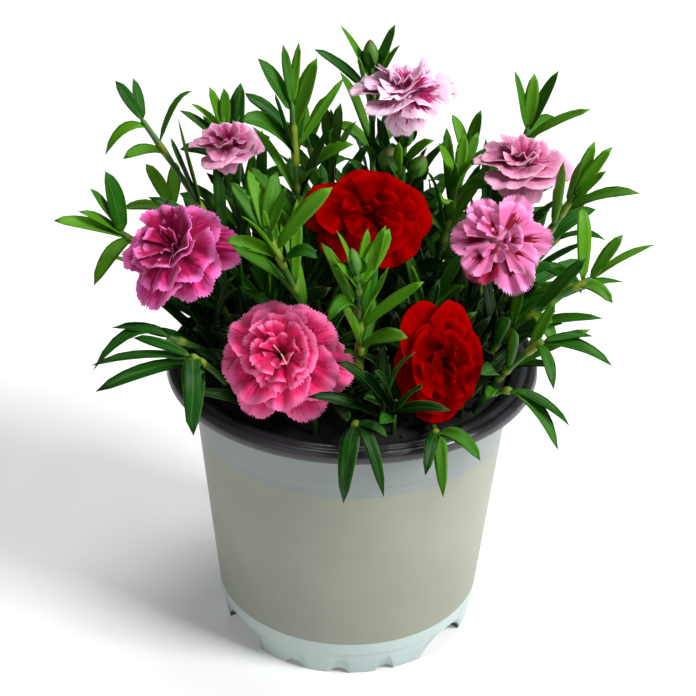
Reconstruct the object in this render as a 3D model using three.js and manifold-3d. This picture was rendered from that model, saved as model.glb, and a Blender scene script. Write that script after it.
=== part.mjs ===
// A potted dianthus: a thermoformed pot, its soil, leafy shoots in plain holes, and eight double blooms.
// Millimetres, +Z up. The origin is on the pot's axis, on the surface that the pot stands on.
// The front, where the shoots hang over the rim, is at -Y.
import * as THREE from 'three';
import { mergeVertices } from 'three/addons/utils/BufferGeometryUtils.js';
import Module from 'manifold-3d';

const wasm = await Module();
wasm.setup();

// ---- driving dimensions -------------------------------------------------------------------------
const POT_HEIGHT = 107.5;
const RIM_RADIUS = 66;
const NECK_RADIUS = 57.9; // outside of the wall, just under the rim
const FOOT_RADIUS = 46.7;
const WALL = 1.4;
const FLOOR_HEIGHT = 10.5; // underside of the raised floor
const POT_SIDES = 26;
const SOIL_SIDES = 20;
const SOIL_HEIGHT = 104.5;
const GAP = 0.3; // between pieces that touch
const STEM_RADIUS = 1.3;
const STEM_SIDES = 4;
const ROOT_DEPTH = 12; // a stem's length in its hole
const STEM_STEPS = 3;
const STEM_TAPER = 0.15; // share of its radius that a stem loses over its length
const SOCKET_PLAY = 0.7; // between a stem and the wall of its hole
const KEEL = 0.6; // how far a leaf's midrib stands under its middle
const PETAL = 0.45; // half the thickness of a petal
const CLEARANCE = 2.4; // between the blades of two shoots
const MERGE_DISTANCE = 1e-5; // corners closer than this are one corner

// ---- colours ------------------------------------------------------------------------------------
const COLOURS = {
  pot: '#c9d0d2', soil: '#241d17', leaf: '#3f7a24', rose: '#d9488a', magenta: '#c2307f', blush: '#e79cc6',
  cream: '#f0cfe0', lilac: '#e3a3cf', pink: '#e58cc4', scarlet: '#a80c0c', crimson: '#9c0808',
};

// ---- the plant: blooms --------------------------------------------------------------------------
// root: place on the soil. centre: middle of the open bloom. face: the way it looks. radius: of its outer
// petals. stretch: its width and its height against a round bloom. spin: degrees that it is turned by.
// hang: where an outer petal droops.
const BLOOMS = {
  rose: {
    form: 'double', root: [-19, -20], centre: [-23, -45, 132],
    face: [-0.1, -0.7, 0.7], radius: 22,
  },
  magenta: {
    form: 'bowl', root: [-31, -12], centre: [-60, -20, 158.5],
    face: [-0.34, -0.52, 0.78], radius: 20.5,
  },
  blush: {
    form: 'cup', root: [-22, 20], centre: [-44, 20, 178.5],
    face: [-0.05, -0.2, 0.98], radius: 13.5, hang: [265],
  },
  cream: {
    form: 'cup', root: [9, 22], centre: [16.5, 18, 200],
    face: [0, -0.04, 1], radius: 19.5, hang: [260, 280],
  },
  lilac: {
    form: 'cup', root: [34, 20], centre: [57, 12, 177],
    face: [0.1, -0.15, 0.98], radius: 17.5, hang: [250, 290],
  },
  pink: {
    form: 'open', root: [31, -4], centre: [48, -15, 160.5],
    face: [-0.1, -0.82, 0.56], radius: 18,
  },
  scarlet: {
    form: 'broad', root: [4, 4], centre: [5, -9, 165],
    face: [0.1, -0.8, 0.59], radius: 20.5, stretch: [1.08, 0.84], spin: 18,
  },
  crimson: {
    form: 'broad', root: [20, -24], centre: [29.5, -43, 129.5],
    face: [0.35, -0.82, 0.4], radius: 18.5, stretch: [0.86, 1.1], spin: 54,
  },
};

// Layers of petals from the outside in. Sizes are shares of the bloom's radius: reach of the tip, height of
// the tip, height where the petal bends, half width. teeth: depth of the cut edge. wave: of the blade.
// rounding: how much shorter a petal is at its sides. cup: how far its sides rise. stray: how much the petals
// differ from each other. rows: the plan of points that a petal is made from.
const LAYERS = {
  double: [
    {
      count: 6, reach: 1.0, tip: -0.04, bend: 0.3, half: 0.46,
      teeth: 0.05, wave: 0.04, rounding: 0.42, cup: -0.05, rows: 3,
    },
    {
      count: 6, reach: 0.86, tip: 0.15, bend: 0.42, half: 0.43,
      teeth: 0.05, wave: 0.05, rounding: 0.42, cup: -0.02, rows: 2,
    },
    {
      count: 4, reach: 0.6, tip: 0.4, bend: 0.54, half: 0.44,
      teeth: 0.06, wave: 0.06, rounding: 0.4, cup: 0.1, rows: 2,
    },
  ],
  bowl: [
    {
      count: 6, reach: 1.0, tip: 0.0, bend: 0.32, half: 0.5,
      teeth: 0.05, wave: 0.05, rounding: 0.42, cup: -0.06, rows: 3,
    },
    {
      count: 5, reach: 0.82, tip: 0.22, bend: 0.42, half: 0.5,
      teeth: 0.05, wave: 0.06, rounding: 0.42, cup: 0, rows: 2,
    },
    {
      count: 4, reach: 0.52, tip: 0.56, bend: 0.36, half: 0.5,
      teeth: 0.06, wave: 0.05, rounding: 0.38, cup: 0.22, rows: 2,
    },
  ],
  open: [
    {
      count: 6, reach: 1.0, tip: 0.06, bend: 0.34, half: 0.37,
      teeth: 0.07, wave: 0.05, rounding: 0.3, cup: 0.03, stray: 1.6, rows: 3,
    },
    {
      count: 4, reach: 0.76, tip: 0.24, bend: 0.4, half: 0.34,
      teeth: 0.07, wave: 0.07, rounding: 0.32, cup: 0.08, stray: 2, rows: 2,
    },
    {
      count: 3, reach: 0.46, tip: 0.38, bend: 0.46, half: 0.28,
      teeth: 0.07, wave: 0.08, rounding: 0.3, cup: 0.14, stray: 2, rows: 2,
    },
  ],
  cup: [
    {
      count: 6, reach: 1.0, tip: 0.2, bend: 0.34, half: 0.48,
      teeth: 0.06, wave: 0.02, rounding: 0.36, cup: 0.04, rows: 3,
    },
    {
      count: 5, reach: 0.78, tip: 0.3, bend: 0.4, half: 0.43,
      teeth: 0.06, wave: 0.02, rounding: 0.34, cup: 0.12, rows: 2,
    },
    {
      count: 3, reach: 0.52, tip: 0.42, bend: 0.46, half: 0.38,
      teeth: 0.07, wave: 0.03, rounding: 0.32, cup: 0.2, rows: 2,
    },
  ],
  broad: [
    {
      count: 5, reach: 1.0, tip: 0, bend: 0.36, half: 0.62,
      teeth: 0.02, wave: 0.03, rounding: 0.46, cup: -0.06, rows: 3,
    },
    {
      count: 4, reach: 0.78, tip: 0.22, bend: 0.44, half: 0.62,
      teeth: 0.02, wave: 0.03, rounding: 0.44, cup: 0.04, stray: 1.5, rows: 2,
    },
    {
      count: 2, reach: 0.5, tip: 0.46, bend: 0.5, half: 0.52,
      teeth: 0.02, wave: 0.05, rounding: 0.36, cup: 0.16, stray: 1.5, rows: 2,
    },
  ],
};
const HANGING = {
  reach: 0.6, tip: -0.3, bend: 0.3, half: 0.3,
  teeth: 0.06, wave: 0.03, rounding: 0.3, cup: -0.04, rows: 3,
};
const HANGING_ELBOW = 0.5; // where a hanging petal turns down, as a share of the radius
const CALYX_LENGTH = 15;
const MOUTH_DEPTH = 0.28; // of the calyx mouth under the bloom's centre, as a share of the radius

// ---- the plant: leafy shoots --------------------------------------------------------------------
// root: place on the soil. bend: the point that the stem leans towards. top: its end.
// leaves: [share of the stem, tip x, y, z, width, arch]. buds: [share, tip x, y, z, length, radius].
const SHOOTS = {
  left_tall: { root: [-28, 10], bend: [-46, 9, 150], top: [-74, 15, 190], leaves: [
    [0.98, -81, 14, 203, 5, 0], [0.98, -76, 19, 202, 5, 0], [0.88, -56, 16, 200, 4, 8],
    [0.95, -86, 9, 178, 5, 9],
    [0.84, -79, 6, 178, 5, 5], [0.62, -64, 2, 187, 7, 2], [0.6, -61, 4, 194, 7, 1], [0.4, -62, 22, 160, 6, 6],
  ] },
  left: { root: [-37, 4], bend: [-60, 8, 132], top: [-81, 0, 154], leaves: [
    [0.97, -84, 2, 175, 9, 1], [0.98, -89, -3, 171, 5, 1], [0.95, -92, -7, 165, 5, 1],
    [0.93, -101, -10, 162, 6, 3],
    [0.9, -88, -16, 141, 6, 8], [0.8, -62, 4, 166, 4, -3], [0.55, -78, 18, 138, 6, 6],
  ] },
  left_low: { root: [-40, -18], bend: [-46, -23, 121], top: [-62, -31, 130], leaves: [
    [0.95, -86, -36, 119, 5, 17], [0.97, -80, -33, 135, 4, 2], [0.85, -80, -24, 130, 4, 4],
  ] },
  rim_left: { root: [-38, -32], bend: [-44, -38, 122], top: [-53, -45, 131], leaves: [
    [0.95, -51, -60, 109, 9, 12], [0.8, -84, -49, 119, 5.5, 6], [0.93, -87, -42, 126, 4.5, 4],
    [0.95, -72, -40, 135, 4, 2],
  ] },
  crown: { root: [-9, 8], bend: [-20, 7, 150], top: [-22, 12, 198], leaves: [
    [0.96, -33, 14, 212, 8, 0], [0.98, -25, 16, 216, 4, 0], [0.98, -20, 19, 216, 4, 0],
    [0.9, -14, 15, 212, 8, 0],
    [0.86, -38, 8, 201, 5, 5], [0.8, -39, 2, 194, 8, 10], [0.82, -5, 24, 203, 4, -2],
    [0.68, -1, 4, 186, 7, 7],
    [0.5, -36, 14, 176, 6, 3],
  ] },
  crown_back: { root: [-4, 26], bend: [-8, 27, 140], top: [-9, 26, 174], leaves: [
    [0.95, -12, 26, 191, 6, 0], [0.95, -6, 28, 191, 5, 0], [0.9, 0, 25, 186, 6, 2],
    [0.85, -17, 24, 182, 6, 2],
    [0.6, -12, 44, 160, 6, 6],
  ] },
  mid_left: { root: [-8, -12], bend: [-15, -26, 138], top: [-30, -22, 167], leaves: [
    [0.93, -41, -18, 181, 6, 2], [0.97, -35, -14, 184, 6, 0], [0.98, -26, -13, 183, 7, 1],
    [0.95, -22, -19, 180, 5, 1], [0.9, -29, -27, 176, 4, 0], [0.86, -8, -22, 182, 7, 3],
    [0.78, -12, -31, 160, 7, 7], [0.82, -42, -31, 166, 6, 3],
  ] },
  back_left: { root: [-22, 36], bend: [-38, 37, 150], top: [-47, 35, 178], leaves: [
    [0.97, -52, 35, 193, 5, 0], [0.97, -47, 38, 192, 5, 0], [0.93, -41, 43, 192, 6, 0],
    [0.9, -58, 33, 187, 5, 3],
    [0.75, -64, 44, 166, 6, 6], [0.75, -32, 50, 168, 6, 6], [0.5, -48, 56, 142, 6, 8],
  ] },
  bud_high: { root: [8, 44], bend: [6, 47, 160], top: [5, 43, 197],
    buds: [[0.98, 4, 43, 209, 10, 2.9]], leaves: [
    [0.95, -6, 43, 214, 6, 0], [0.95, 13, 45, 214, 5, 0], [0.9, 15, 46, 206, 4, 3],
    [0.88, -15, 38, 207, 6, 2],
    [0.6, 22, 60, 172, 6, 7], [0.6, -10, 62, 170, 6, 7],
  ] },
  bud_mid: { root: [17, 12], bend: [15, 14, 150], top: [12, 12, 174], leaves: [
    [0.9, 24, 2, 190, 5, 2], [0.85, 3, 20, 178, 5, 4], [0.7, 26, 22, 160, 5, 5],
  ], buds: [[0.98, 11, 8, 183, 10, 4.6], [0.7, 23, 7, 181, 9, 3.2]] },
  mid_right: { root: [25, 8], bend: [30, 16, 142], top: [36, 15, 170], leaves: [
    [0.95, 28, 16, 182, 5, 0], [0.97, 37, 20, 184, 5, 0], [0.97, 44, 21, 183, 5, 1], [0.9, 33, 11, 177, 6, 1],
    [0.85, 46, 6, 171, 5, 6], [0.7, 30, -2, 168, 8, 9], [0.6, 22, 3, 160, 6, 6],
  ] },
  right_tall: { root: [34, 34], bend: [52, 39, 145], top: [61, 38, 180], leaves: [
    [0.97, 55, 39, 200, 5, 0], [0.98, 62, 41, 198, 6, 0], [0.96, 70, 40, 200, 6, 0], [0.9, 82, 33, 188, 4, 5],
    [0.85, 72, 54, 178, 6, 6], [0.6, 76, 34, 160, 6, 7], [0.6, 46, 58, 160, 6, 7],
  ] },
  right_high: { root: [44, 10], bend: [60, 8, 138], top: [74, 0, 171], leaves: [
    [0.97, 85, 2, 188, 5, 0], [0.96, 80, 6, 188, 5, 0], [0.93, 84, -4, 181, 5, 1], [0.93, 76, 1, 184, 6, 1],
    [0.88, 95, -5, 174, 5.5, 6], [0.78, 67, -13, 188, 5, 1], [0.6, 84, 14, 160, 6, 6],
  ] },
  right: { root: [42, -12], bend: [51, -24, 134], top: [80, -22, 151], leaves: [
    [0.97, 88, -20, 166, 5, 1], [0.96, 99, -21, 163, 4, 3], [0.93, 75, -14, 173, 6, 6],
    [0.9, 86, -27, 144, 5, 6],
    [0.62, 76, -26, 160, 6, 1], [0.6, 68, -30, 128, 6, 7], [0.75, 92, -14, 146, 5, 5],
  ] },
  right_low: { root: [46, -24], bend: [52, -32, 122], top: [63, -37, 135], leaves: [
    [0.93, 85, -40, 127, 6, 8], [0.97, 79, -37, 137, 4, 2], [0.9, 66, -50, 124, 5, 7],
    [0.8, 66, -32, 147, 5, 0],
  ] },
  rim_right: { root: [42, -33], bend: [46, -40, 118], top: [52, -48, 122], leaves: [
    [0.95, 72, -57, 116, 5, 6], [0.93, 68, -63, 109, 6, 10], [0.6, 44, -54, 122, 5, 5],
  ] },
  front: { root: [2, -36], bend: [3, -45, 140], top: [1, -45, 160],
    buds: [[0.98, -1, -44, 171, 9, 2.4]], leaves: [
    [0.94, -5, -46, 178, 4, 1], [0.94, 11, -40, 176, 7, 1], [0.96, 4, -40, 176, 4, 0],
    [0.9, -7, -51, 168, 4, 5],
    [0.72, -8, -57, 151, 6, 12], [0.6, 23, -46, 160, 6, 2], [0.45, 17, -54, 145, 6, 4],
    [0.35, -3, -54, 138, 4, 3],
  ] },
  rim_front: { root: [2, -48], bend: [2, -55, 115], top: [1, -62, 115], leaves: [
    [0.95, -2, -74, 94, 7.5, 12], [0.85, 11, -73, 96, 5, 14], [0.8, 12, -66, 115, 4, 4],
  ] },
  rim_mid: { root: [27, -40], bend: [27, -50, 107.5], top: [28, -56, 110], leaves: [
    [0.95, 24, -72, 104, 5, 9], [0.9, 30, -74, 97, 5.5, 12], [0.95, 42, -68, 108, 6, 7],
  ] },
  back: { root: [-8, 46], bend: [-12, 58, 140], top: [-18, 62, 164], leaves: [
    [0.97, -22, 65, 182, 6, 0], [0.95, -12, 68, 178, 6, 2], [0.9, -32, 68, 166, 6, 5],
    [0.7, -2, 73, 150, 6, 7],
    [0.7, -36, 60, 148, 6, 6], [0.4, -18, 74, 128, 6, 9],
  ] },
  back_right: { root: [28, 44], bend: [36, 56, 136], top: [42, 62, 158], leaves: [
    [0.97, 46, 65, 175, 6, 0], [0.95, 36, 68, 172, 6, 2], [0.9, 56, 62, 158, 6, 5], [0.7, 28, 73, 142, 6, 7],
    [0.5, 56, 50, 134, 6, 7],
  ] },
  side_left: { root: [-42, 24], bend: [-56, 34, 128], top: [-68, 40, 146], leaves: [
    [0.97, -76, 44, 160, 6, 1], [0.95, -66, 50, 158, 6, 2], [0.9, -84, 34, 146, 5, 5],
    [0.6, -62, 54, 128, 6, 8],
    [0.6, -76, 20, 130, 6, 7],
  ] },
  side_right: { root: [48, 22], bend: [62, 28, 126], top: [76, 32, 142], leaves: [
    [0.97, 84, 36, 156, 6, 1], [0.95, 72, 42, 154, 6, 2], [0.9, 90, 24, 142, 5, 5], [0.6, 66, 48, 124, 6, 8],
    [0.6, 82, 12, 128, 6, 7],
  ] },
};

// Short shoots that fill the middle, with leaves by rule only: root on the soil and top.
const SHORT_SHOOTS = {
  fill_left: { root: [-27, -3], top: [-30, -5, 132] },
  fill_right: { root: [24, -8], top: [26, -12, 134] },
  fill_far_left: { root: [-40, 12], top: [-48, 18, 126] },
  fill_back_left: { root: [-16, 20], top: [-18, 24, 146] },
  fill_back_right: { root: [20, 32], top: [22, 36, 144] },
};

// Short shoots that hang over the rim: they have no low leaves.
const RIM_SHOOTS = ['left_low', 'rim_left', 'rim_right', 'rim_front', 'rim_mid'];

// Low leaves, set by a rule for each kind of stem: share of the stem, length, and rise in degrees.
const LOW_LEAVES = {
  rim: [],
  shoot: [[0.3, 27, 32]],
  flower: [[0.26, 27, 30], [0.5, 25, 42]],
  short: [[0.35, 28, 25], [0.6, 28, 38], [0.85, 26, 52], [0.98, 22, 74]],
};
const LOW_LEAF_WIDTH = 6;
const LOW_LEAF_ARCH = 4;
const SPIRAL = 137.5; // degrees from one low leaf to the next

// ---- small helpers ------------------------------------------------------------------------------
const vec = (p) => new THREE.Vector3(...p);
const radians = THREE.MathUtils.degToRad;

// A repeatable number from -1 to 1 for a whole number.
function scatter(n) {
  const wave = Math.sin(n * 12.9898) * 43758.5453;
  return 2 * (wave - Math.floor(wave)) - 1;
}

function solid(geometry) {
  const bare = geometry.clone();
  bare.deleteAttribute('normal');
  bare.deleteAttribute('uv');
  const merged = mergeVertices(bare, MERGE_DISTANCE);
  const vertProperties = new Float32Array(merged.attributes.position.array);
  const triVerts = new Uint32Array(merged.index.array);
  return new wasm.Manifold(new wasm.Mesh({ numProp: 3, vertProperties, triVerts }));
}

function geometryOf(manifold) {
  const mesh = manifold.getMesh();
  const geometry = new THREE.BufferGeometry();
  geometry.setAttribute('position', new THREE.BufferAttribute(new Float32Array(mesh.vertProperties), 3));
  geometry.setIndex(Array.from(mesh.triVerts));
  const faceted = geometry.toNonIndexed();
  faceted.computeVertexNormals();
  return faceted;
}

function fused(pieces) {
  return pieces.slice(1).reduce((whole, piece) => whole.add(piece), pieces[0]);
}

// A closed body through rings of points, all with the same count, with a flat cap at each end.
function loft(rings) {
  const sides = rings[0].length;
  const index = [];
  for (let r = 0; r + 1 < rings.length; r += 1) {
    for (let s = 0; s < sides; s += 1) {
      const a = r * sides + s;
      const b = r * sides + ((s + 1) % sides);
      index.push(a, b, b + sides, a, b + sides, a + sides);
    }
  }
  const last = (rings.length - 1) * sides;
  for (let s = 1; s + 1 < sides; s += 1) {
    index.push(0, s + 1, s, last, last + s, last + s + 1);
  }
  const geometry = new THREE.BufferGeometry().setFromPoints(rings.flat());
  geometry.setIndex(index);
  return solid(geometry);
}

// The largest body of a solid: a fused bloom can close a pocket of air between its petals.
function largestBody(whole) {
  return whole.decompose().reduce((most, body) => (body.volume() > most.volume() ? body : most));
}

// A body of revolution about an axis from a base point: outline is [radius, height] from axis to axis.
function turned(outline, sides, base, axis) {
  const geometry = new THREE.LatheGeometry(outline.map(([r, h]) => new THREE.Vector2(r, h)), sides);
  const turn = new THREE.Quaternion().setFromUnitVectors(new THREE.Vector3(0, 1, 0), axis);
  geometry.applyQuaternion(turn);
  geometry.translate(base.x, base.y, base.z);
  return solid(geometry);
}

// ---- pot and soil -------------------------------------------------------------------------------
const UP = new THREE.Vector3(0, 0, 1);
const ORIGIN = new THREE.Vector3();
const FOOT_STEP = 9; // height of the stacking step over the foot
const NECK_STEP = 87; // height of the stacking step under the rim
const STEP = 0.9; // how far each step stands out
const FLOOR_RADIUS = 40;
const ARCH_RADIUS = 12.6; // the wide arches of the foot
const ARCH_AXIS_HEIGHT = -3.6;
const ARCH_TURN = 53; // degrees from the front or the back to the middle of an arch
const NOTCH_RADIUS = 3.8; // the notches between the small feet
const NOTCH_AXIS_HEIGHT = -0.9;
const NOTCH_TURNS = [-20.5, 0, 20.5, 90]; // degrees from the front or the back
const FOOT_TURN = -3; // degrees: the middle of the front group of feet
const CUTTER_LENGTH = 30;
const ARCH_SIDES = 12;
const NOTCH_SIDES = 6;
const DRAIN_SIDES = 6;
const DRAIN_RADIUS = 3.5;
const DRAIN_REACH = 24; // from the axis to a drain hole
const FOOT_TAPER = 3.2; // how far the foot leans in to the raised floor
const STEP_HEIGHT = 1.2; // of the slope of a stacking step
const RIM_UNDERSIDE = 103;
const RIM_GROOVE = 106.5; // height of the groove between the two lips of the rim
const LIP_WIDTH = 2;

function potWall() {
  const inner = NECK_RADIUS - WALL;
  const overFoot = FOOT_RADIUS + 0.8;
  const underNeck = NECK_RADIUS - 1.3;
  const outside = [
    [0, FLOOR_HEIGHT], [FLOOR_RADIUS, FLOOR_HEIGHT], [FOOT_RADIUS - FOOT_TAPER, 0], [FOOT_RADIUS, 0],
    [overFoot, FOOT_STEP], [overFoot + STEP, FOOT_STEP + STEP_HEIGHT],
    [underNeck - STEP, NECK_STEP], [underNeck, NECK_STEP + STEP_HEIGHT], [NECK_RADIUS, RIM_UNDERSIDE - 0.2],
  ];
  const rim = [
    [RIM_RADIUS - 1.2, RIM_UNDERSIDE], [RIM_RADIUS, RIM_UNDERSIDE + 1.2],
    [RIM_RADIUS - 0.4, POT_HEIGHT - 0.9],
    [RIM_RADIUS - LIP_WIDTH, POT_HEIGHT], [RIM_RADIUS - 1.8 * LIP_WIDTH, RIM_GROOVE],
    [RIM_RADIUS - 2.7 * LIP_WIDTH, POT_HEIGHT],
  ];
  const inside = [
    [inner, SOIL_HEIGHT + 0.5], [underNeck - STEP - WALL, NECK_STEP - 1],
    [overFoot - STEP, FLOOR_HEIGHT + WALL + STEP_HEIGHT],
    [FLOOR_RADIUS, FLOOR_HEIGHT + WALL], [0, FLOOR_HEIGHT + WALL],
  ];
  return turned([...outside, ...rim, ...inside], POT_SIDES, ORIGIN, UP);
}

// A round bar through the foot, along the radius at an angle.
function footCutter(angle, radius, height, sides) {
  const bar = new THREE.CylinderGeometry(radius, radius, CUTTER_LENGTH, sides);
  bar.rotateZ(Math.PI / 2);
  bar.translate(FOOT_RADIUS, 0, height);
  bar.rotateZ(radians(angle));
  return solid(bar);
}

function drainHole(angle) {
  const hole = new THREE.CylinderGeometry(DRAIN_RADIUS, DRAIN_RADIUS, 8 * WALL, DRAIN_SIDES);
  hole.rotateX(Math.PI / 2);
  const x = DRAIN_REACH * Math.cos(radians(angle));
  const y = DRAIN_REACH * Math.sin(radians(angle));
  hole.translate(x, y, FLOOR_HEIGHT);
  return solid(hole);
}

function pot() {
  let body = potWall();
  for (const middle of [FOOT_TURN - 90, FOOT_TURN + 90]) {
    for (const turn of [-ARCH_TURN, ARCH_TURN]) {
      body = body.subtract(footCutter(middle + turn, ARCH_RADIUS, ARCH_AXIS_HEIGHT, ARCH_SIDES));
    }
    for (const turn of NOTCH_TURNS) {
      body = body.subtract(footCutter(middle + turn, NOTCH_RADIUS, NOTCH_AXIS_HEIGHT, NOTCH_SIDES));
    }
    for (const turn of [0, 90]) {
      body = body.subtract(drainHole(middle + turn));
    }
  }
  return body;
}

// The soil fills the pot and rounds off at the wall. Each stem has a plain hole in it.
function soil(roots) {
  const inner = NECK_RADIUS - WALL - 1.5 * GAP;
  const floor = FLOOR_HEIGHT + WALL + GAP;
  let body = turned([
    [0, floor], [FLOOR_RADIUS - 1, floor], [FOOT_RADIUS - 1.8, floor + 1.3], [inner - 2.6, NECK_STEP - 1],
    [inner - 0.5, SOIL_HEIGHT - 1.2], [inner - 5, SOIL_HEIGHT], [0, SOIL_HEIGHT],
  ], SOIL_SIDES, ORIGIN, UP);
  const socket = STEM_RADIUS + SOCKET_PLAY;
  for (const [x, y] of roots) {
    const hole = new THREE.CylinderGeometry(socket, socket, 2 * (ROOT_DEPTH + GAP), STEM_SIDES);
    hole.rotateX(Math.PI / 2);
    hole.translate(x, y, SOIL_HEIGHT);
    body = body.subtract(solid(hole));
  }
  return body;
}

// ---- stems --------------------------------------------------------------------------------------
const COLLAR = 2; // a stem leaves the soil upright for this height

function stemCurve(root, bend, top) {
  return new THREE.QuadraticBezierCurve3(vec([...root, SOIL_HEIGHT + COLLAR]), vec(bend), vec(top));
}

function ringAround(point, tangent, radius, sides) {
  const turn = new THREE.Quaternion().setFromUnitVectors(UP, tangent);
  const ring = [];
  for (let s = 0; s < sides; s += 1) {
    const angle = (2 * Math.PI * s) / sides;
    const spoke = new THREE.Vector3(radius * Math.cos(angle), radius * Math.sin(angle), 0);
    ring.push(spoke.applyQuaternion(turn).add(point));
  }
  return ring;
}

function stem(curve) {
  const start = curve.getPoint(0);
  const foot = start.clone().setZ(SOIL_HEIGHT - ROOT_DEPTH);
  const rings = [ringAround(foot, UP, STEM_RADIUS, STEM_SIDES)];
  rings.push(ringAround(start.clone().setZ(SOIL_HEIGHT + 0.3 * COLLAR), UP, STEM_RADIUS, STEM_SIDES));
  for (let k = 1; k <= STEM_STEPS; k += 1) {
    const t = k / STEM_STEPS;
    const radius = STEM_RADIUS * (1 - STEM_TAPER * t);
    rings.push(ringAround(curve.getPoint(t), curve.getTangent(t), radius, STEM_SIDES));
  }
  return loft(rings);
}

// ---- leaves -------------------------------------------------------------------------------------
// Share of a leaf's length, and its half width there as a share of the full half width.
const BROAD_STATIONS = [[0, 0.3], [0.42, 0.95], [0.78, 0.88], [1, 0]];
const SLIM_STATIONS = [[0, 0.3], [0.6, 1.1], [1, 0]];
const SLIM_WIDTH = 6.2; // a leaf up to this width has fewer stations
const FOLD = 0.35; // how far the edges stand over the middle, as a share of the half width
const SUN = vec([0.15, -0.75, 0.6]).normalize(); // where the light comes from
const TURN = 0.6; // share of the way that a leaf rolls to face the light
const MOST_TURN = 38; // degrees

function leafCurve(base, leaf, swing, lift, trim) {
  const chord = vec(leaf.tip).sub(base);
  chord.applyAxisAngle(UP, radians(swing)).multiplyScalar(trim);
  chord.z += lift;
  const middle = base.clone().addScaledVector(chord, 0.5);
  middle.z += leaf.arch;
  return new THREE.QuadraticBezierCurve3(base, middle, base.clone().add(chord));
}

// The direction across a leaf: level at first, then rolled so that its upper face looks towards the light.
function leafSide(curve) {
  const chord = curve.v2.clone().sub(curve.v0).normalize();
  const level = new THREE.Vector3(-chord.y, chord.x, 0).normalize();
  const top = chord.clone().cross(level);
  const facing = TURN * Math.atan2(-level.dot(SUN), top.dot(SUN));
  const roll = THREE.MathUtils.clamp(facing, -radians(MOST_TURN), radians(MOST_TURN));
  return level.multiplyScalar(Math.cos(roll)).addScaledVector(top, Math.sin(roll));
}

function leafBlade(curve, width) {
  const side = leafSide(curve);
  const stations = width > SLIM_WIDTH ? BROAD_STATIONS : SLIM_STATIONS;
  const rings = stations.slice(0, -1).map(([t, share]) => {
    const point = curve.getPoint(t);
    const top = curve.getTangent(t).cross(side).normalize();
    const half = 0.5 * width * share;
    const edge = (way) => point.clone().addScaledVector(side, way * half).addScaledVector(top, half * FOLD);
    const keel = point.clone().addScaledVector(top, -KEEL);
    return [edge(1), edge(-1), keel];
  });
  rings.push(rings[0].map(() => curve.getPoint(1)));
  return loft(rings);
}

// ---- room between shoots ------------------------------------------------------------------------
// Every piece leaves points in the room: a new leaf keeps clear of the points of other shoots.
const room = [];
const STEM_SAMPLES = 20;
const CALYX_SAMPLES = [2, 6, 10]; // heights under the mouth
const CALYX_RADIUS = 3.6;
const PETAL_SAMPLES_ACROSS = [-0.96, -0.64, -0.32, 0, 0.32, 0.64, 0.96];
const PETAL_SAMPLES_ALONG = [0.2, 0.35, 0.5, 0.65, 0.8, 0.95];
const LEAF_SAMPLES = [0.2, 0.3, 0.4, 0.5, 0.6, 0.7, 0.8, 0.9, 1];
const BLADE_ROOM = 0.3; // half the thickness that a blade takes up
const TRIMS = [1, 0.8, 0.6]; // shares of a leaf's length
const LIFTS = [0, 4, -4, 8];
const SWINGS = [0, 8, -8, 16, -16, 26, -26, 38, -38]; // degrees

function occupy(owner, points, radius) {
  for (const point of points) {
    room.push({ owner, point, radius });
  }
}

// Half the width of a leaf for its room: a little more than the leaf's own.
function roomAcross(width, t) {
  return 0.5 * width * Math.sin(Math.PI * Math.min(0.9, 0.15 + 0.75 * t));
}

function leafPoints(curve, width) {
  const side = leafSide(curve);
  const points = [];
  for (const t of LEAF_SAMPLES) {
    const half = roomAcross(width, t);
    for (const way of [-0.8, 0, 0.8]) {
      points.push(curve.getPoint(t).addScaledVector(side, way * half));
    }
  }
  return points;
}

function clearOfPot(point) {
  const reach = Math.hypot(point.x, point.y);
  if (reach < NECK_RADIUS - WALL - 2) {
    return point.z > SOIL_HEIGHT + 1.5;
  }
  return reach > RIM_RADIUS + 1.5 || point.z > POT_HEIGHT + 1.2;
}

function isClear(owner, points) {
  return points.every((point) => clearOfPot(point) && room.every((other) => (
    other.owner === owner || other.point.distanceTo(point) > other.radius + CLEARANCE)));
}

// Tries the leaf as drawn, then swung, lifted and at last shortened, until it is clear.
function settledLeaf(owner, base, leaf) {
  for (const trim of TRIMS) {
    for (const lift of LIFTS) {
      for (const swing of SWINGS) {
        const curve = leafCurve(base, leaf, swing, lift, trim);
        if (isClear(owner, leafPoints(curve, leaf.width))) {
          return curve;
        }
      }
    }
  }
  return null;
}

// A low leaf points along the spiral, turned to the side where its stem has room.
function lowLeaf(curve, number, [share, length, rise]) {
  const base = curve.getPoint(share);
  const azimuth = radians(SPIRAL * number);
  const tip = new THREE.Vector3(length * Math.cos(radians(rise)), 0, length * Math.sin(radians(rise)));
  tip.applyAxisAngle(UP, azimuth).add(base);
  return { share, tip: tip.toArray(), width: LOW_LEAF_WIDTH, arch: LOW_LEAF_ARCH };
}

// The blades of a stem: those drawn for it, then its low ones, each where it has room.
function bladesOf(owner, curve, drawn, kind, number) {
  const low = LOW_LEAVES[kind].map((row, k) => lowLeaf(curve, 2 * number + k, row));
  const leaves = drawn.map(([share, x, y, z, width, arch]) => ({ share, tip: [x, y, z], width, arch }));
  const blades = [];
  for (const leaf of [...leaves, ...low]) {
    const spine = settledLeaf(owner, curve.getPoint(leaf.share), leaf);
    if (spine) {
      occupy(owner, leafPoints(spine, leaf.width), BLADE_ROOM);
      blades.push(leafBlade(spine, leaf.width));
    }
  }
  return blades;
}

// ---- buds and calyxes ---------------------------------------------------------------------------
const BUD_SIDES = 7;
const BUD_STALK_RADIUS = 1.1;
const BUD_MIDDLE = 0.6; // how far under its tip a bud is widest, as a share of its length
const CALYX_SIDES = 6;

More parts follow.
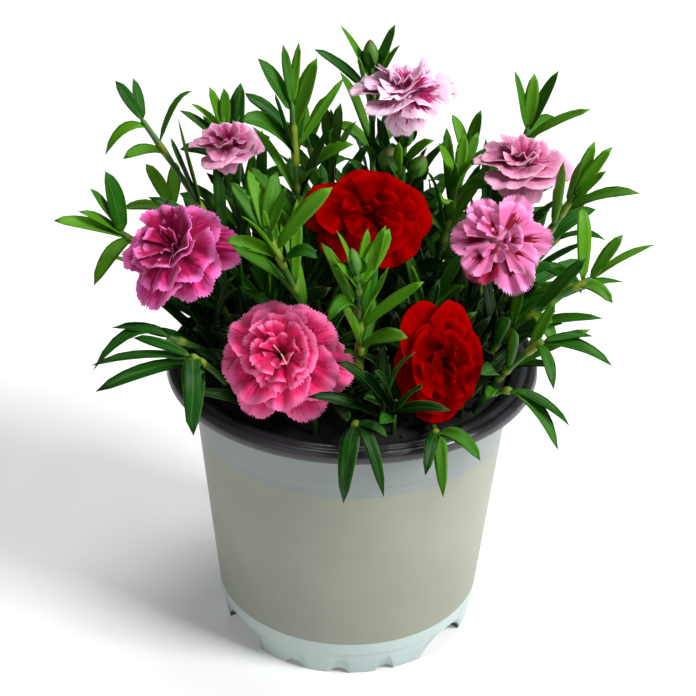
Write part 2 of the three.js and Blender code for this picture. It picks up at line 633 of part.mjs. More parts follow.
function bud(curve, [share, x, y, z, length, radius]) {
  const from = curve.getPoint(share);
  const tip = vec([x, y, z]);
  const axis = tip.clone().sub(from).normalize();
  const base = tip.clone().addScaledVector(axis, -length);
  const ends = [from, base.clone().addScaledVector(axis, 1)];
  const stalk = loft(ends.map((end) => ringAround(end, axis, BUD_STALK_RADIUS, STEM_SIDES)));
  const outline = [
    [0, -0.5], [radius * 0.5, 0], [radius, length * 0.35], [radius * 0.72, length * 0.75], [0, length],
  ];
  return stalk.add(turned(outline, BUD_SIDES, base, axis));
}

// The calyx is a cup round the claws of the petals: [radius, height from its mouth].
function calyx(mouth, axis) {
  return turned([
    [0, -CALYX_LENGTH], [2.5, -CALYX_LENGTH + 1], [CALYX_RADIUS, -7], [4.1, 0], [3.5, 0], [2.9, -7], [0, -10],
  ], CALYX_SIDES, mouth, axis);
}

// The receptacle fills the cup with a gap all round, and every petal grows out of its top.
function receptacle(mouth, axis) {
  return turned([[0, -9.6], [2.5, -6.9], [3.05, 0], [3.1, 3.4], [0, 4.6]], CALYX_SIDES, mouth, axis);
}

// ---- petals -------------------------------------------------------------------------------------
// For petals of three rows and of two: [share of the length, points across].
const PETAL_ROWS = { 3: [[0, 2], [0.4, 3], [0.74, 5], [1, 7]], 2: [[0, 2], [0.6, 3], [1, 5]] };
const ELBOW = 0.3; // where a petal turns outwards, as a share of its reach
const ROUND_EDGE = [0.35, 0.65]; // shares of the soft and of the tight curve in a petal's rounded end
const CLAW = 0.08; // width of the claw as a share of the petal's
const CLAW_FLARE = 1.4; // how late a petal widens: 1 is a plain wedge
const RIPPLES = 2.5; // waves across a petal
const SHINGLE = 0.08; // how far each petal's left side lies over its neighbour
const BASE = 0.9; // height of the outer petals over the mouth
const BASE_STEP = 1.1; // from one layer to the next
const HANGING_BASE = 0.8;
const STRAY_TURN = 9; // degrees that a petal may stand from its even place
// How far a petal may stray from its layer: shares of its reach, of the radius for its tip, of its half width
// and of the radius for its shingle, then the phase of its waves in radians.
const STRAY = { reach: 0.09, tip: 0.1, half: 0.12, shingle: 0.07, phase: 2 };
const PROBE = 0.02; // step along a petal that gives its slope

function petalFrame(bloom) {
  const axis = vec(bloom.face).normalize();
  const across = new THREE.Vector3(1, 0, 0);
  across.addScaledVector(axis, -across.dot(axis)).normalize();
  const along = axis.clone().cross(across);
  const mouth = vec(bloom.centre).addScaledVector(axis, -MOUTH_DEPTH * bloom.radius);
  return { axis, across, along, mouth, stretch: bloom.stretch ?? [1, 1] };
}

// The place of a point on a petal: s from -1 to 1 across it, t from 0 to 1 along it.
function petalPoint(frame, petal, s, t) {
  const { radius, layer, turn } = petal;
  const reachAt = t * (1 - layer.rounding * (ROUND_EDGE[0] * s ** 2 + ROUND_EDGE[1] * s ** 6));
  const ease = [(1 - reachAt) ** 2, 2 * reachAt * (1 - reachAt), reachAt ** 2];
  const elbow = layer.elbow ?? ELBOW * layer.reach;
  const out = ease[0] * 1 + ease[1] * elbow * radius + ease[2] * layer.reach * radius;
  const rise = ease[0] * layer.base + ease[1] * layer.bend * radius + ease[2] * layer.tip * radius;
  const half = layer.half * radius * (CLAW + (1 - CLAW) * Math.max(t, 0) ** CLAW_FLARE);
  const ripple = layer.wave * radius * Math.sin(RIPPLES * Math.PI * s + layer.phase) * t * t;
  const overlap = (layer.shingle * s + layer.cup * s * s) * radius * t;
  const local = new THREE.Vector2(out, s * half).rotateAround(new THREE.Vector2(), turn);
  return frame.mouth.clone()
    .addScaledVector(frame.across, local.x * frame.stretch[0])
    .addScaledVector(frame.along, local.y * frame.stretch[1])
    .addScaledVector(frame.axis, rise + ripple + overlap);
}

// Across the last row every other point is drawn in, which cuts the edge into teeth.
function petalRow(frame, petal, t, count) {
  const row = [];
  for (let k = 0; k < count; k += 1) {
    const s = -1 + (2 * k) / (count - 1);
    const cut = t === 1 && k % 2 === 0 ? petal.layer.teeth : 0;
    row.push(petalPoint(frame, petal, s, t - cut));
  }
  return row;
}

// Triangles between two rows of a blade that may differ in their counts of points.
function stitch(index, first, firstCount, second, secondCount) {
  let a = 0;
  let b = 0;
  while (a + 1 < firstCount || b + 1 < secondCount) {
    const nearA = (a + 1) / (firstCount - 1);
    const nearB = (b + 1) / (secondCount - 1);
    if (b + 1 < secondCount && (a + 1 >= firstCount || nearB <= nearA)) {
      index.push([first + a, second + b + 1, second + b]);
      b += 1;
    } else {
      index.push([first + a, first + a + 1, second + b]);
      a += 1;
    }
  }
}

function petalNormal(frame, petal, s, t) {
  const across = petalPoint(frame, petal, s + PROBE, t).sub(petalPoint(frame, petal, s - PROBE, t));
  const outwards = petalPoint(frame, petal, s, t + PROBE).sub(petalPoint(frame, petal, s, t - PROBE));
  return outwards.cross(across).normalize();
}

// A petal is a lens: its two faces share the edge points and stand apart everywhere else.
function petalBlade(frame, petal) {
  const plan = PETAL_ROWS[petal.layer.rows];
  const upper = [];
  const lower = [];
  const isEdge = [];
  const triangles = [];
  plan.forEach(([t, count], r) => {
    const start = upper.length;
    if (r + 1 < plan.length) {
      stitch(triangles, start, count, start + count, plan[r + 1][1]);
    }
    petalRow(frame, petal, t, count).forEach((point, c) => {
      const edge = r === 0 || r + 1 === plan.length || c === 0 || c + 1 === count;
      const normal = petalNormal(frame, petal, -1 + (2 * c) / (count - 1), t);
      upper.push(point.clone().addScaledVector(normal, edge ? 0 : PETAL));
      lower.push(point.clone().addScaledVector(normal, edge ? 0 : -PETAL));
      isEdge.push(edge);
    });
  });
  const twin = (k) => (isEdge[k] ? k : upper.length + k);
  const index = triangles.flatMap(([a, b, c]) => [c, b, a, twin(a), twin(b), twin(c)]);
  const geometry = new THREE.BufferGeometry().setFromPoints([...upper, ...lower]);
  geometry.setIndex(index);
  return solid(geometry.toNonIndexed());
}

// A petal's own shape strays a little from its layer's.
function grownShape(layer, seed) {
  const { stray = 1 } = layer;
  return {
    ...layer,
    reach: layer.reach * (1 + STRAY.reach * stray * scatter(seed + 1)),
    tip: layer.tip + STRAY.tip * stray * scatter(seed + 2),
    half: layer.half * (1 + STRAY.half * scatter(seed + 3)),
    shingle: layer.shingle + STRAY.shingle * stray * scatter(seed + 4),
    phase: STRAY.phase * scatter(seed + 5),
  };
}

function petalsOf(bloom, number) {
  const { radius, spin = 0, hang = [] } = bloom;
  const petals = [];
  LAYERS[bloom.form].forEach((layer, level) => {
    for (let k = 0; k < layer.count; k += 1) {
      const seed = 100 * number + 10 * level + k;
      const turn = radians((360 * (k + 0.5 * level)) / layer.count + STRAY_TURN * scatter(seed) + spin);
      const shape = grownShape({ base: BASE + BASE_STEP * level, shingle: SHINGLE, ...layer }, seed);
      petals.push({ radius, layer: shape, turn });
    }
  });
  for (const angle of hang) {
    const layer = { base: HANGING_BASE, shingle: 0, phase: 0, elbow: HANGING_ELBOW, ...HANGING };
    petals.push({ radius, layer, turn: radians(angle) });
  }
  return petals;
}

// ---- assembly -----------------------------------------------------------------------------------
const group = new THREE.Group();
const ROUGHNESS = { pot: 0.35, soil: 0.95, leaf: 0.5, petal: 0.6 };
const STEM_PULL = 0.45; // how far down a flower stem starts to bend, as a share of its height

function add(name, body, colour, roughness) {
  const material = new THREE.MeshStandardMaterial({ color: colour, roughness, metalness: 0 });
  const mesh = new THREE.Mesh(geometryOf(body), material);
  mesh.name = name;
  group.add(mesh);
}

// A flower stem ends in its calyx, so it bends until it points the way the bloom looks.
function flowerStem(bloom, frame) {
  const top = frame.mouth.clone().addScaledVector(frame.axis, -CALYX_LENGTH + 1);
  const bend = top.clone().addScaledVector(frame.axis, -STEM_PULL * (top.z - SOIL_HEIGHT));
  return stemCurve(bloom.root, bend.toArray(), top.toArray());
}

// The blooms and the stems take their room first.
function plannedBloom([name, bloom], number) {
  const frame = petalFrame(bloom);
  const curve = flowerStem(bloom, frame);
  const petals = petalsOf(bloom, number);
  const owner = `stem_${name}`;
  occupy(owner, curve.getPoints(STEM_SAMPLES), STEM_RADIUS);
  const calyxPoints = CALYX_SAMPLES.map((back) => frame.mouth.clone().addScaledVector(frame.axis, -back));
  occupy(owner, calyxPoints, CALYX_RADIUS);
  for (const petal of petals) {
    for (const t of PETAL_SAMPLES_ALONG) {
      occupy(`bloom_${name}`, PETAL_SAMPLES_ACROSS.map((s) => petalPoint(frame, petal, s, t)), PETAL);
    }
  }
  return { name, frame, curve, petals, owner };
}

function kindOf(name, leaves) {
  if (RIM_SHOOTS.includes(name)) {
    return 'rim';
  }
  return leaves.length ? 'shoot' : 'short';
}

function plannedShoot([name, shoot]) {
  const { root, top, bend = [...root, 0.5 * (SOIL_HEIGHT + top[2])], leaves = [], buds = [] } = shoot;
  const curve = stemCurve(root, bend, top);
  const owner = `shoot_${name}`;
  occupy(owner, curve.getPoints(STEM_SAMPLES), STEM_RADIUS);
  for (const [, x, y, z, length, radius] of buds) {
    occupy(owner, [vec([x, y, z - BUD_MIDDLE * length])], radius);
  }
  return { owner, curve, leaves, buds, kind: kindOf(name, leaves) };
}

const blooms = Object.entries(BLOOMS).map(plannedBloom);
const shoots = Object.entries({ ...SHOOTS, ...SHORT_SHOOTS }).map(plannedShoot);
const pieces = [BLOOMS, SHOOTS, SHORT_SHOOTS].flatMap((kind) => Object.values(kind));
const roots = pieces.map((piece) => piece.root);

add('pot', pot(), COLOURS.pot, ROUGHNESS.pot);
add('soil', soil(roots), COLOURS.soil, ROUGHNESS.soil);
shoots.forEach(({ owner, curve, leaves, buds, kind }, number) => {
  const blades = bladesOf(owner, curve, leaves, kind, number);
  const shut = buds.map((row) => bud(curve, row));
  add(owner, fused([stem(curve), ...blades, ...shut]), COLOURS.leaf, ROUGHNESS.leaf);
});
blooms.forEach(({ name, frame, curve, petals, owner }, number) => {
  const blades = bladesOf(owner, curve, [], 'flower', shoots.length + number);
  add(owner, fused([stem(curve), calyx(frame.mouth, frame.axis), ...blades]), COLOURS.leaf, ROUGHNESS.leaf);
  const cut = petals.map((petal) => petalBlade(frame, petal));
  const bloom = largestBody(fused([receptacle(frame.mouth, frame.axis), ...cut]));
  add(`bloom_${name}`, bloom, COLOURS[name], ROUGHNESS.petal);
});

export default group;
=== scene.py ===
# %% [markdown]
# # A potted dianthus
# A dianthus is a small clump of leafy shoots and flower stems in a thin plastic pot. The shoots carry narrow
# leaves in opposite pairs, and each flower stem ends in a green cup, the calyx, that holds the petals.
# The lesson builds the pot, the soil, the leafy shoots and eight blooms, each as one mesh shaped by formulas.

# %% Load the frame
import itertools
import math

import bmesh
import bpy
import numpy as np
from mathutils import Matrix, Vector, noise


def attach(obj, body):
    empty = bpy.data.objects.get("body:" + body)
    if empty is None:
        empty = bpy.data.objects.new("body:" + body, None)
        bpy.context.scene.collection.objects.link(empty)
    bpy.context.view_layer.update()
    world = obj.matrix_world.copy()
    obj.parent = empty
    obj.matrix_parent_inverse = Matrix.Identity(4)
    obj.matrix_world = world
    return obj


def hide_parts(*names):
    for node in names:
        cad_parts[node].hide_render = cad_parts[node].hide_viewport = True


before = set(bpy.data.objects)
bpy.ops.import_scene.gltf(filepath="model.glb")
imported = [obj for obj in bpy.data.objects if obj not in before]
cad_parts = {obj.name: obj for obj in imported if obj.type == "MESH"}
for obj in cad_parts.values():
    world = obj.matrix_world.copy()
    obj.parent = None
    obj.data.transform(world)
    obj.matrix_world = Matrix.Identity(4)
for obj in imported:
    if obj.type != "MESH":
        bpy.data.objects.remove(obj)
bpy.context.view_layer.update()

# %% Units and objects
MM = 0.001  # the plant is measured in millimetres and finished in metres


def placed(name, data):
    """A new object that holds the data, in the scene."""
    made = bpy.data.objects.new(name, data)
    bpy.context.scene.collection.objects.link(made)
    return made


print("a millimetre is", MM, "of Blender's metres")

# %% [markdown]
# ## Camera, floor and light
# A product picture of a pot plant is taken from a little above, with a long lens, on a pale ground. A camera is
# placed by an angle and a distance from a point on the plant's axis. One large soft lamp on the right and above
# models the pot's round side, and a weaker one on the left keeps the leaves there readable.

# %% Camera
AIM = Vector((-1.5, 0, 109.5)) * MM
CAMERA_DISTANCE = 600 * MM
CAMERA_HEIGHT = math.radians(29.7)
CAMERA_ROLL = math.radians(1.15)
LENS = 87.31
NEAREST_SEEN = 0.02

back = Vector((0, -math.cos(CAMERA_HEIGHT), math.sin(CAMERA_HEIGHT)))
level = Vector((1, 0, 0))
upright = back.cross(level)
right = level * math.cos(CAMERA_ROLL) + upright * math.sin(CAMERA_ROLL)
above = upright * math.cos(CAMERA_ROLL) - level * math.sin(CAMERA_ROLL)
camera_turn = Matrix((right, above, back)).transposed().to_4x4()
camera = placed("camera", bpy.data.cameras.new("camera"))
camera.data.lens = LENS
camera.data.clip_start = NEAREST_SEEN
camera.matrix_world = Matrix.Translation(AIM + back * CAMERA_DISTANCE) @ camera_turn
bpy.context.scene.camera = camera
bpy.context.scene.view_settings.view_transform = "Standard"
print("camera stands at", [round(value, 3) for value in camera.location])


# %% Lamps and sky
LAMP_TARGET = Vector((0, 0, 0.12))
SKY_STRENGTH = 0.08


def soft_lamp(name, place, size, power):
    """A square lamp at a place in metres that looks at the plant."""
    lamp = placed(name, bpy.data.lights.new(name, "AREA"))
    lamp.data.size = size
    lamp.data.energy = power
    aim = LAMP_TARGET - Vector(place)
    lamp.matrix_world = Matrix.Translation(place) @ aim.to_track_quat("-Z", "Y").to_matrix().to_4x4()


soft_lamp("key_lamp", (1.9, -0.9, 1.7), 1.0, 92)
soft_lamp("fill_lamp", (-1.2, -1.8, 1.2), 1.4, 5)
soft_lamp("top_lamp", (0.2, 0.5, 2.6), 1.0, 36)

world = bpy.data.worlds.new("studio")
bpy.context.scene.world = world
world.use_nodes = True
sky = world.node_tree.nodes["Background"].inputs
sky["Color"].default_value = (0.96, 0.97, 0.98, 1)
sky["Strength"].default_value = SKY_STRENGTH
print("three lamps and a pale sky")


# %% [markdown]
# ## Making finishes from nodes
# Every finish is a Principled shader fed by a few nodes. A pattern that follows a petal or a leaf reads the
# piece's own map, which runs across and along each blade. A pattern of grain in plastic or soil reads the
# object's coordinates, which stay still when the piece is baked.

# %% Node helpers
def blank_finish(name, roughness):
    """A material with one Principled shader: returns the material, its node tree and the shader."""
    material = bpy.data.materials.new(name)
    material.use_nodes = True
    tree = material.node_tree
    shader = tree.nodes["Principled BSDF"]
    shader.inputs["Roughness"].default_value = roughness
    return material, tree, shader


def node(tree, kind, inputs=None, **settings):
    """A node with its settings, whose sockets get a number or a link by name or by place."""
    made = tree.nodes.new(kind)
    for key, value in settings.items():
        setattr(made, key, value)
    for key, value in (inputs or {}).items():
        if isinstance(value, bpy.types.NodeSocket):
            tree.links.new(value, made.inputs[key])
        else:
            made.inputs[key].default_value = value
    return made


def sum_of(tree, operation, first, second):
    return node(tree, "ShaderNodeMath", {0: first, 1: second}, operation=operation).outputs[0]


def smooth(tree, value, start, end, low=0.0, high=1.0):
    """Runs smoothly from low to high while the value runs from start to end."""
    inputs = {"Value": value, "From Min": start, "From Max": end, "To Min": low, "To Max": high}
    return node(tree, "ShaderNodeMapRange", inputs, interpolation_type="SMOOTHSTEP").outputs[0]


def mixed(tree, share, first, second):
    """A colour between two: share 0 gives the first and 1 the second."""
    inputs = {0: share, 6: first, 7: second}
    return node(tree, "ShaderNodeMix", inputs, data_type="RGBA", clamp_factor=True).outputs[2]


def colour(red, green, blue):
    """A colour from its screen values out of 255."""
    linear = [(v / 255 / 12.92) if v <= 10 else ((v / 255 + 0.055) / 1.055) ** 2.4 for v in (red, green, blue)]
    return (*linear, 1)


def bump(tree, shader, height, strength, distance):
    made = node(tree, "ShaderNodeBump", {"Height": height, "Strength": strength, "Distance": distance * MM})
    tree.links.new(made.outputs["Normal"], shader.inputs["Normal"])


def blade_map(tree):
    """The two directions of a blade: across it from 0 to 1, and along it from 0 to 1."""
    parts = node(tree, "ShaderNodeSeparateXYZ", {0: node(tree, "ShaderNodeUVMap", uv_map="blade").outputs[0]})
    return parts.outputs[0], parts.outputs[1]


def point_value(tree, name):
    return node(tree, "ShaderNodeAttribute", attribute_name=name, attribute_type="GEOMETRY").outputs["Fac"]


def grain(tree, scale, detail=2.0, vector=None):
    """Cloudy noise from 0 to 1, on the object's coordinates unless a vector is given."""
    if vector is None:
        vector = node(tree, "ShaderNodeTexCoord").outputs["Object"]
    inputs = {"Vector": vector, "Scale": scale, "Detail": detail, "Roughness": 0.5}
    return node(tree, "ShaderNodeTexNoise", inputs).outputs["Fac"]


def off_middle(tree, across):
    """How far a point of a blade lies from its middle line: 0 there, and 0.5 at the edges."""
    return sum_of(tree, "ABSOLUTE", sum_of(tree, "SUBTRACT", across, 0.5), 0.0)


def blade_grain(tree, across, along, tint, width, length, detail=2.0):
    """Noise drawn out along a blade: width is its count of streaks across and length its count along."""
    vector = node(tree, "ShaderNodeCombineXYZ", {
        0: sum_of(tree, "MULTIPLY", across, width),
        1: sum_of(tree, "MULTIPLY", along, length),
        2: sum_of(tree, "MULTIPLY", tint, 37.0),
    }).outputs[0]
    return grain(tree, 1.0, detail, vector)


print("node helpers are ready")

# %% [markdown]
# ## Floor
# The ground is a plain pale sheet under the pot. It is lit a little from behind, as paper on a light table is, so
# the pot's shadow stays soft. It is staged, so it isn't part of the plant.

# %% Floor
PAPER_GLOW = 0.16
FLOOR_REACH = 6  # metres from the middle to an edge

floor_finish, tree, shader = blank_finish("paper_floor", 0.9)
paper = mixed(tree, grain(tree, 60.0), colour(236, 237, 238), colour(244, 244, 245))
tree.links.new(paper, shader.inputs["Base Color"])
shader.inputs["Emission Color"].default_value = (1, 1, 1, 1)
shader.inputs["Emission Strength"].default_value = PAPER_GLOW
bm = bmesh.new()
bmesh.ops.create_grid(bm, x_segments=1, y_segments=1, size=FLOOR_REACH)
floor_mesh = bpy.data.meshes.new("floor")
bm.to_mesh(floor_mesh)
bm.free()
floor_mesh.materials.append(floor_finish)
floor = placed("floor", floor_mesh)
print("floor is", 2 * FLOOR_REACH, "m wide")


# %% [markdown]
# ## From a grid to a piece
# A petal, a leaf, a stem and a calyx are all the same thing to a mesh: a grid that is rolled round until its two
# long edges meet. So one helper makes the grid, sends each corner to the place that a formula gives, and merges
# the seam and the ends, where many corners land on one point. The formula is what differs between the pieces.

# %% The skin helper
def new_piece():
    """A bmesh with a map for blades and three numbers at each point: a blade's tint, how near a stem's swollen
    joint is, and how deep in its bloom a petal sits."""
    bm = bmesh.new()
    bm.loops.layers.uv.new("blade")
    bm.verts.layers.float.new("tint")
    bm.verts.layers.float.new("joint")
    bm.verts.layers.float.new("depth")
    return bm


def skin(bm, around, along, place, spread=None, look=0, tint=0.0, joint=None, depth=0.0):
    """A closed grid of faces. place(u, v) gives points in mm for arrays of u, once round, and v, end to end.
    spread(u, v) gives the map, and joint(v) the share of a stem's swollen joint."""
    uv = bm.loops.layers.uv["blade"]
    tint_layer = bm.verts.layers.float["tint"]
    joint_layer = bm.verts.layers.float["joint"]
    depth_layer = bm.verts.layers.float["depth"]
    corners = bmesh.ops.create_grid(bm, x_segments=around, y_segments=along, size=0.5)["verts"]
    faces = {face for corner in corners for face in corner.link_faces}
    u = np.array([corner.co.x + 0.5 for corner in corners])
    v = np.array([corner.co.y + 0.5 for corner in corners])
    spots = np.stack(spread(u, v) if spread else (u, v), 1).tolist()
    map_spot = dict(zip(corners, spots))
    for face in faces:
        face.material_index = look
        face.smooth = True
        for loop in face.loops:
            loop[uv].uv = map_spot[loop.vert]
    swollen = joint(v).tolist() if joint else [0.0] * len(corners)
    for corner, point, swelling in zip(corners, place(u, v).tolist(), swollen):
        corner.co = point
        corner[tint_layer] = tint
        corner[joint_layer] = swelling
        corner[depth_layer] = depth
    bmesh.ops.remove_doubles(bm, verts=corners, dist=0.004)


def finished(bm, name, looks, nodes):
    """Scales a piece to metres, turns its faces outwards, and stands it in for its solid."""
    bmesh.ops.recalc_face_normals(bm, faces=bm.faces)
    bmesh.ops.scale(bm, vec=(MM, MM, MM), verts=bm.verts)
    mesh = bpy.data.meshes.new(name)
    bm.to_mesh(mesh)
    bm.free()
    for look in looks:
        mesh.materials.append(look)
    piece = placed(name, mesh)
    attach(piece, "root")
    if nodes:
        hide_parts(*nodes)
    print(f"{name}: {sum(len(face.vertices) - 2 for face in mesh.polygons)} triangles")
    return piece


def scatter(number):
    """A repeatable number from -1 to 1 for a whole number, or for each of many."""
    wave = np.sin(number * 12.9898) * 43758.5453
    return 2 * (wave - np.floor(wave)) - 1


print("scatter's first numbers:", [round(float(scatter(k)), 3) for k in range(1, 4)])

# %% [markdown]
# ## Pot
# The pot is thermoformed from thin plastic sheet: a charcoal layer inside, which shows on the rolled rim, and a
# white one outside, with a plain printed band round the middle. Its wall is a profile spun round the axis. The
# rim has two lips with a groove between, and a small step under it and over the foot is where stacked pots rest.
# Four wide arches and small notches are cut out of the foot with round bars, and four drain holes out of the
# floor with upright ones, as a boolean.

# %% Pot finishes
NECK_SHADE_START, NECK_SHADE_END = 0.05, 0.083  # heights in metres between which a painted shade comes in under the rim
# a grey painted on the white as the shade under the rim
NECK_SHADE_GREY = colour(114, 121, 120)


def pot_finish(name, plain, shade, roughness, speck=0.0, painted_shade=0.0):
    """Moulded plastic: faint clouding, fine upright drawing marks and a soft gloss. Towards the neck a painted
    shade darkens it, as the rim's shadow would, and the last argument sets how strong that painted shade is."""
    material, tree, shader = blank_finish(name, roughness)
    clouds = grain(tree, 25.0, 3.0)
    place = node(tree, "ShaderNodeTexCoord").outputs["Object"]
    drawn = node(tree, "ShaderNodeMapping", {0: place, 3: (260, 260, 9)}).outputs[0]
    marks = grain(tree, 1.0, 2.0, drawn)
    tone = mixed(tree, smooth(tree, clouds, 0.3, 0.7, 0.0, 0.6), plain, shade)
    tone = mixed(tree, smooth(tree, marks, 0.55, 0.8, 0.0, speck), tone, shade)
    height = node(tree, "ShaderNodeSeparateXYZ", {0: place}).outputs[2]
    # painted shade: towards the neck the white is mixed with a grey, as if in the rim's shadow
    tone = mixed(tree, smooth(tree, height, NECK_SHADE_START, NECK_SHADE_END, 0.0, painted_shade), tone, NECK_SHADE_GREY)
    tree.links.new(tone, shader.inputs["Base Color"])
    tree.links.new(smooth(tree, clouds, 0.2, 0.8, roughness - 0.06, roughness + 0.08), shader.inputs["Roughness"])
    bump(tree, shader, marks, 0.12, 0.15)
    return material


charcoal = pot_finish("charcoal_plastic", colour(40, 40, 44), colour(54, 53, 57), 0.3, 0.5)
# A much darker copy of the charcoal for the inside of the pot: painted shade, where the rim and the clump shade
# it.
painted_shade = pot_finish("charcoal_lining_shade", colour(12, 12, 13), colour(20, 19, 21), 0.55, 0.25)
white_plastic = pot_finish("white_plastic", colour(182, 197, 194), colour(170, 185, 183), 0.38, 0.3, 0.85)
band_print = pot_finish("taupe_print", colour(142, 145, 130), colour(132, 135, 120), 0.45, 0.3)
print("four pot finishes")

# %% Pot wall
POT_WALL = [  # radius and height, from the middle of the floor up the outside and down the inside
    (0, 10.5), (38.5, 10.5), (40, 10.2), (43.2, 0.4), (43.8, 0), (46.2, 0), (46.75, 0.5), (47.5, 8.6), (47.7, 9.1),
    (48.2, 9.5), (48.45, 10.1), (48.85, 14.6), (48.9, 15), (55.35, 83), (55.4, 83.4), (55.75, 86.8),
    (55.9, 87.3), (56.5, 87.8), (56.65, 88.4), (57.75, 101.4), (58.1, 102.5), (58.7, 102.9), (61, 102.6),
    (63.6, 102.7), (64.9, 103.0), (65.7, 103.6), (66, 104.4), (65.9, 105.8), (65.5, 106.7), (64.9, 107.3),
    (64.1, 107.5), (63.4, 107.3), (62.8, 106.7), (62.3, 106.5), (61.8, 106.7), (61.2, 107.3), (60.6, 107.5),
    (59.8, 107.2), (58.6, 106.3), (57.2, 105.8), (56.6, 105.0), (56.4, 103.0), (55.2, 88.6), (54.5, 86.8),
    (46.9, 14), (46.4, 13.1), (41.6, 12.5), (40, 11.9), (0, 11.9),
]
POT_STEPS = 112
FLOOR_MIDDLE = 11  # height between the floor's two faces
LINING_RADIUS, LINING_FOOT, LINING_SLOPE = 47.2, 14, 0.107  # a cone between the wall's two faces
RIM_FOOT, RIM_START, RIM_SHOULDER = 102.6, 58.5, 105  # the rim's lowest height, inner radius and upper part
BAND_FOOT, BAND_TOP = 15, 83  # heights of the printed band


def spun(bm, outline, steps, looks=None):
    """Spins an outline of radius and height round the pot's axis into a closed shell."""
    ring = [bm.verts.new((radius, 0, height)) for radius, height in outline]
    edges = [bm.edges.new(pair) for pair in zip(ring, ring[1:])]
    bmesh.ops.spin(bm, geom=ring + edges, cent=(0, 0, 0), axis=(0, 0, 1), angle=2 * math.pi,
                   steps=steps, use_merge=True, use_duplicate=False)
    bmesh.ops.remove_doubles(bm, verts=bm.verts, dist=0.002)
    for face in bm.faces:
        face.smooth = True
        if looks:
            face.material_index = looks(face.calc_center_median())


def pot_look(centre):
    """The finish of a face of the pot by its place: the rim is charcoal, and the inside takes a much darker copy
    of it as painted shade.
    """
    reach = math.hypot(centre.x, centre.y)
    if centre.z > FLOOR_MIDDLE and reach < LINING_RADIUS + LINING_SLOPE * (centre.z - LINING_FOOT):
        return 3
    if centre.z > RIM_FOOT and reach > RIM_START or centre.z > RIM_SHOULDER:
        return 0
    return 2 if BAND_FOOT < centre.z < BAND_TOP else 1


print("the pot's profile has", len(POT_WALL), "corners")

# %% Cut the foot
FOOT_TURN = -3  # the whole foot is turned a little against the band
FOOT_RADIUS = 46.7
ARCH_RADIUS, ARCH_AXIS_HEIGHT, ARCH_TURN = 12.6, -3.6, 53
NOTCH_RADIUS, NOTCH_AXIS_HEIGHT, NOTCH_TURNS = 3.8, -0.9, (-20.5, 0, 20.5, 90)
DRAIN_RADIUS, DRAIN_REACH, DRAIN_MIDDLE = 3.5, 24, 11.2


def round_bar(bm, radius, length, sides):
    """A bar that stands upright on the axis: returns its corners."""
    return bmesh.ops.create_cone(
        bm, cap_ends=True, segments=sides, radius1=radius, radius2=radius, depth=length)["verts"]


def foot_cutter():
    """Bars that lie along the foot's radii and cut its arches and notches, and upright ones for the drains."""
    bm = bmesh.new()
    bars = []
    for middle in (FOOT_TURN - 90, FOOT_TURN + 90):
        bars += [(middle + turn, ARCH_RADIUS, ARCH_AXIS_HEIGHT) for turn in (-ARCH_TURN, ARCH_TURN)]
        bars += [(middle + turn, NOTCH_RADIUS, NOTCH_AXIS_HEIGHT) for turn in NOTCH_TURNS]
    for angle, radius, height in bars:
        turn = Matrix.Rotation(math.radians(angle), 4, "Z") @ Matrix.Translation((FOOT_RADIUS, 0, height))
        turn = turn @ Matrix.Rotation(math.pi / 2, 4, "Y")
        bmesh.ops.transform(bm, matrix=turn, verts=round_bar(bm, radius, 30, 28))
    for quarter in range(4):
        angle = math.radians(90 * quarter + FOOT_TURN)
        place = (DRAIN_REACH * math.cos(angle), DRAIN_REACH * math.sin(angle), DRAIN_MIDDLE)
        bmesh.ops.translate(bm, vec=place, verts=round_bar(bm, DRAIN_RADIUS, 8, 20))
    bmesh.ops.scale(bm, vec=(MM, MM, MM), verts=bm.verts)
    mesh = bpy.data.meshes.new("foot_cutter")
    bm.to_mesh(mesh)
    bm.free()
    return placed("foot_cutter", mesh)


def cut_away(piece, cutter):
    """Cuts one piece with another and keeps the result as plain mesh."""
    boolean = piece.modifiers.new("cut", "BOOLEAN")
    boolean.operation = "DIFFERENCE"
    boolean.object = cutter
    boolean.solver = "EXACT"
    bpy.context.view_layer.update()
    cut = bpy.data.meshes.new_from_object(piece.evaluated_get(bpy.context.evaluated_depsgraph_get()))
    piece.modifiers.clear()
    piece.data = cut
    bpy.data.objects.remove(cutter)


bm = new_piece()
spun(bm, POT_WALL, POT_STEPS, pot_look)
pot = finished(bm, "pot_shell", [charcoal, white_plastic, band_print, painted_shade], ["pot"])
cut_away(pot, foot_cutter())
print("pot after its foot is cut:", len(pot.data.polygons), "faces")

# %% [markdown]
# ## Soil
# Potting soil is dark peat with crumbs, and it stops a few millimetres under the rim. Its colour is darkened
# further to near black as painted shade under the clump. A disc of rings is lifted by two scales of noise, and a
# few hundred small crumbs lie on it, each an icosphere of twenty faces.

# %% Soil finish
peat, tree, shader = blank_finish("peat", 0.95)
lumps = grain(tree, 420.0, 4.0)
# Near black: partly the peat's own dark colour, and partly painted shade for the shade under the clump.
tree.links.new(mixed(tree, lumps, colour(2, 2, 2), colour(15, 12, 10)), shader.inputs["Base Color"])
bump(tree, shader, lumps, 0.8, 0.8)
print("soil finish")

# %% Soil
SOIL_HEIGHT = 104.5  # where the plant grows from
SOIL_TOP, TOP_RADIUS, TOP_STEP = 104.6, 52, 4  # the flat top and its rings, before it is made uneven
SOIL_WALL = [(0, 12.2), (39, 12.2), (44.9, 13.5), (53.2, 86), (55.2, 103.4), (54.6, 104.4), (52, SOIL_TOP)]
SOIL_STEPS = 72
CRUMBS, CRUMB_REACH, CRUMB_HEIGHT = 260, 54, 0.3

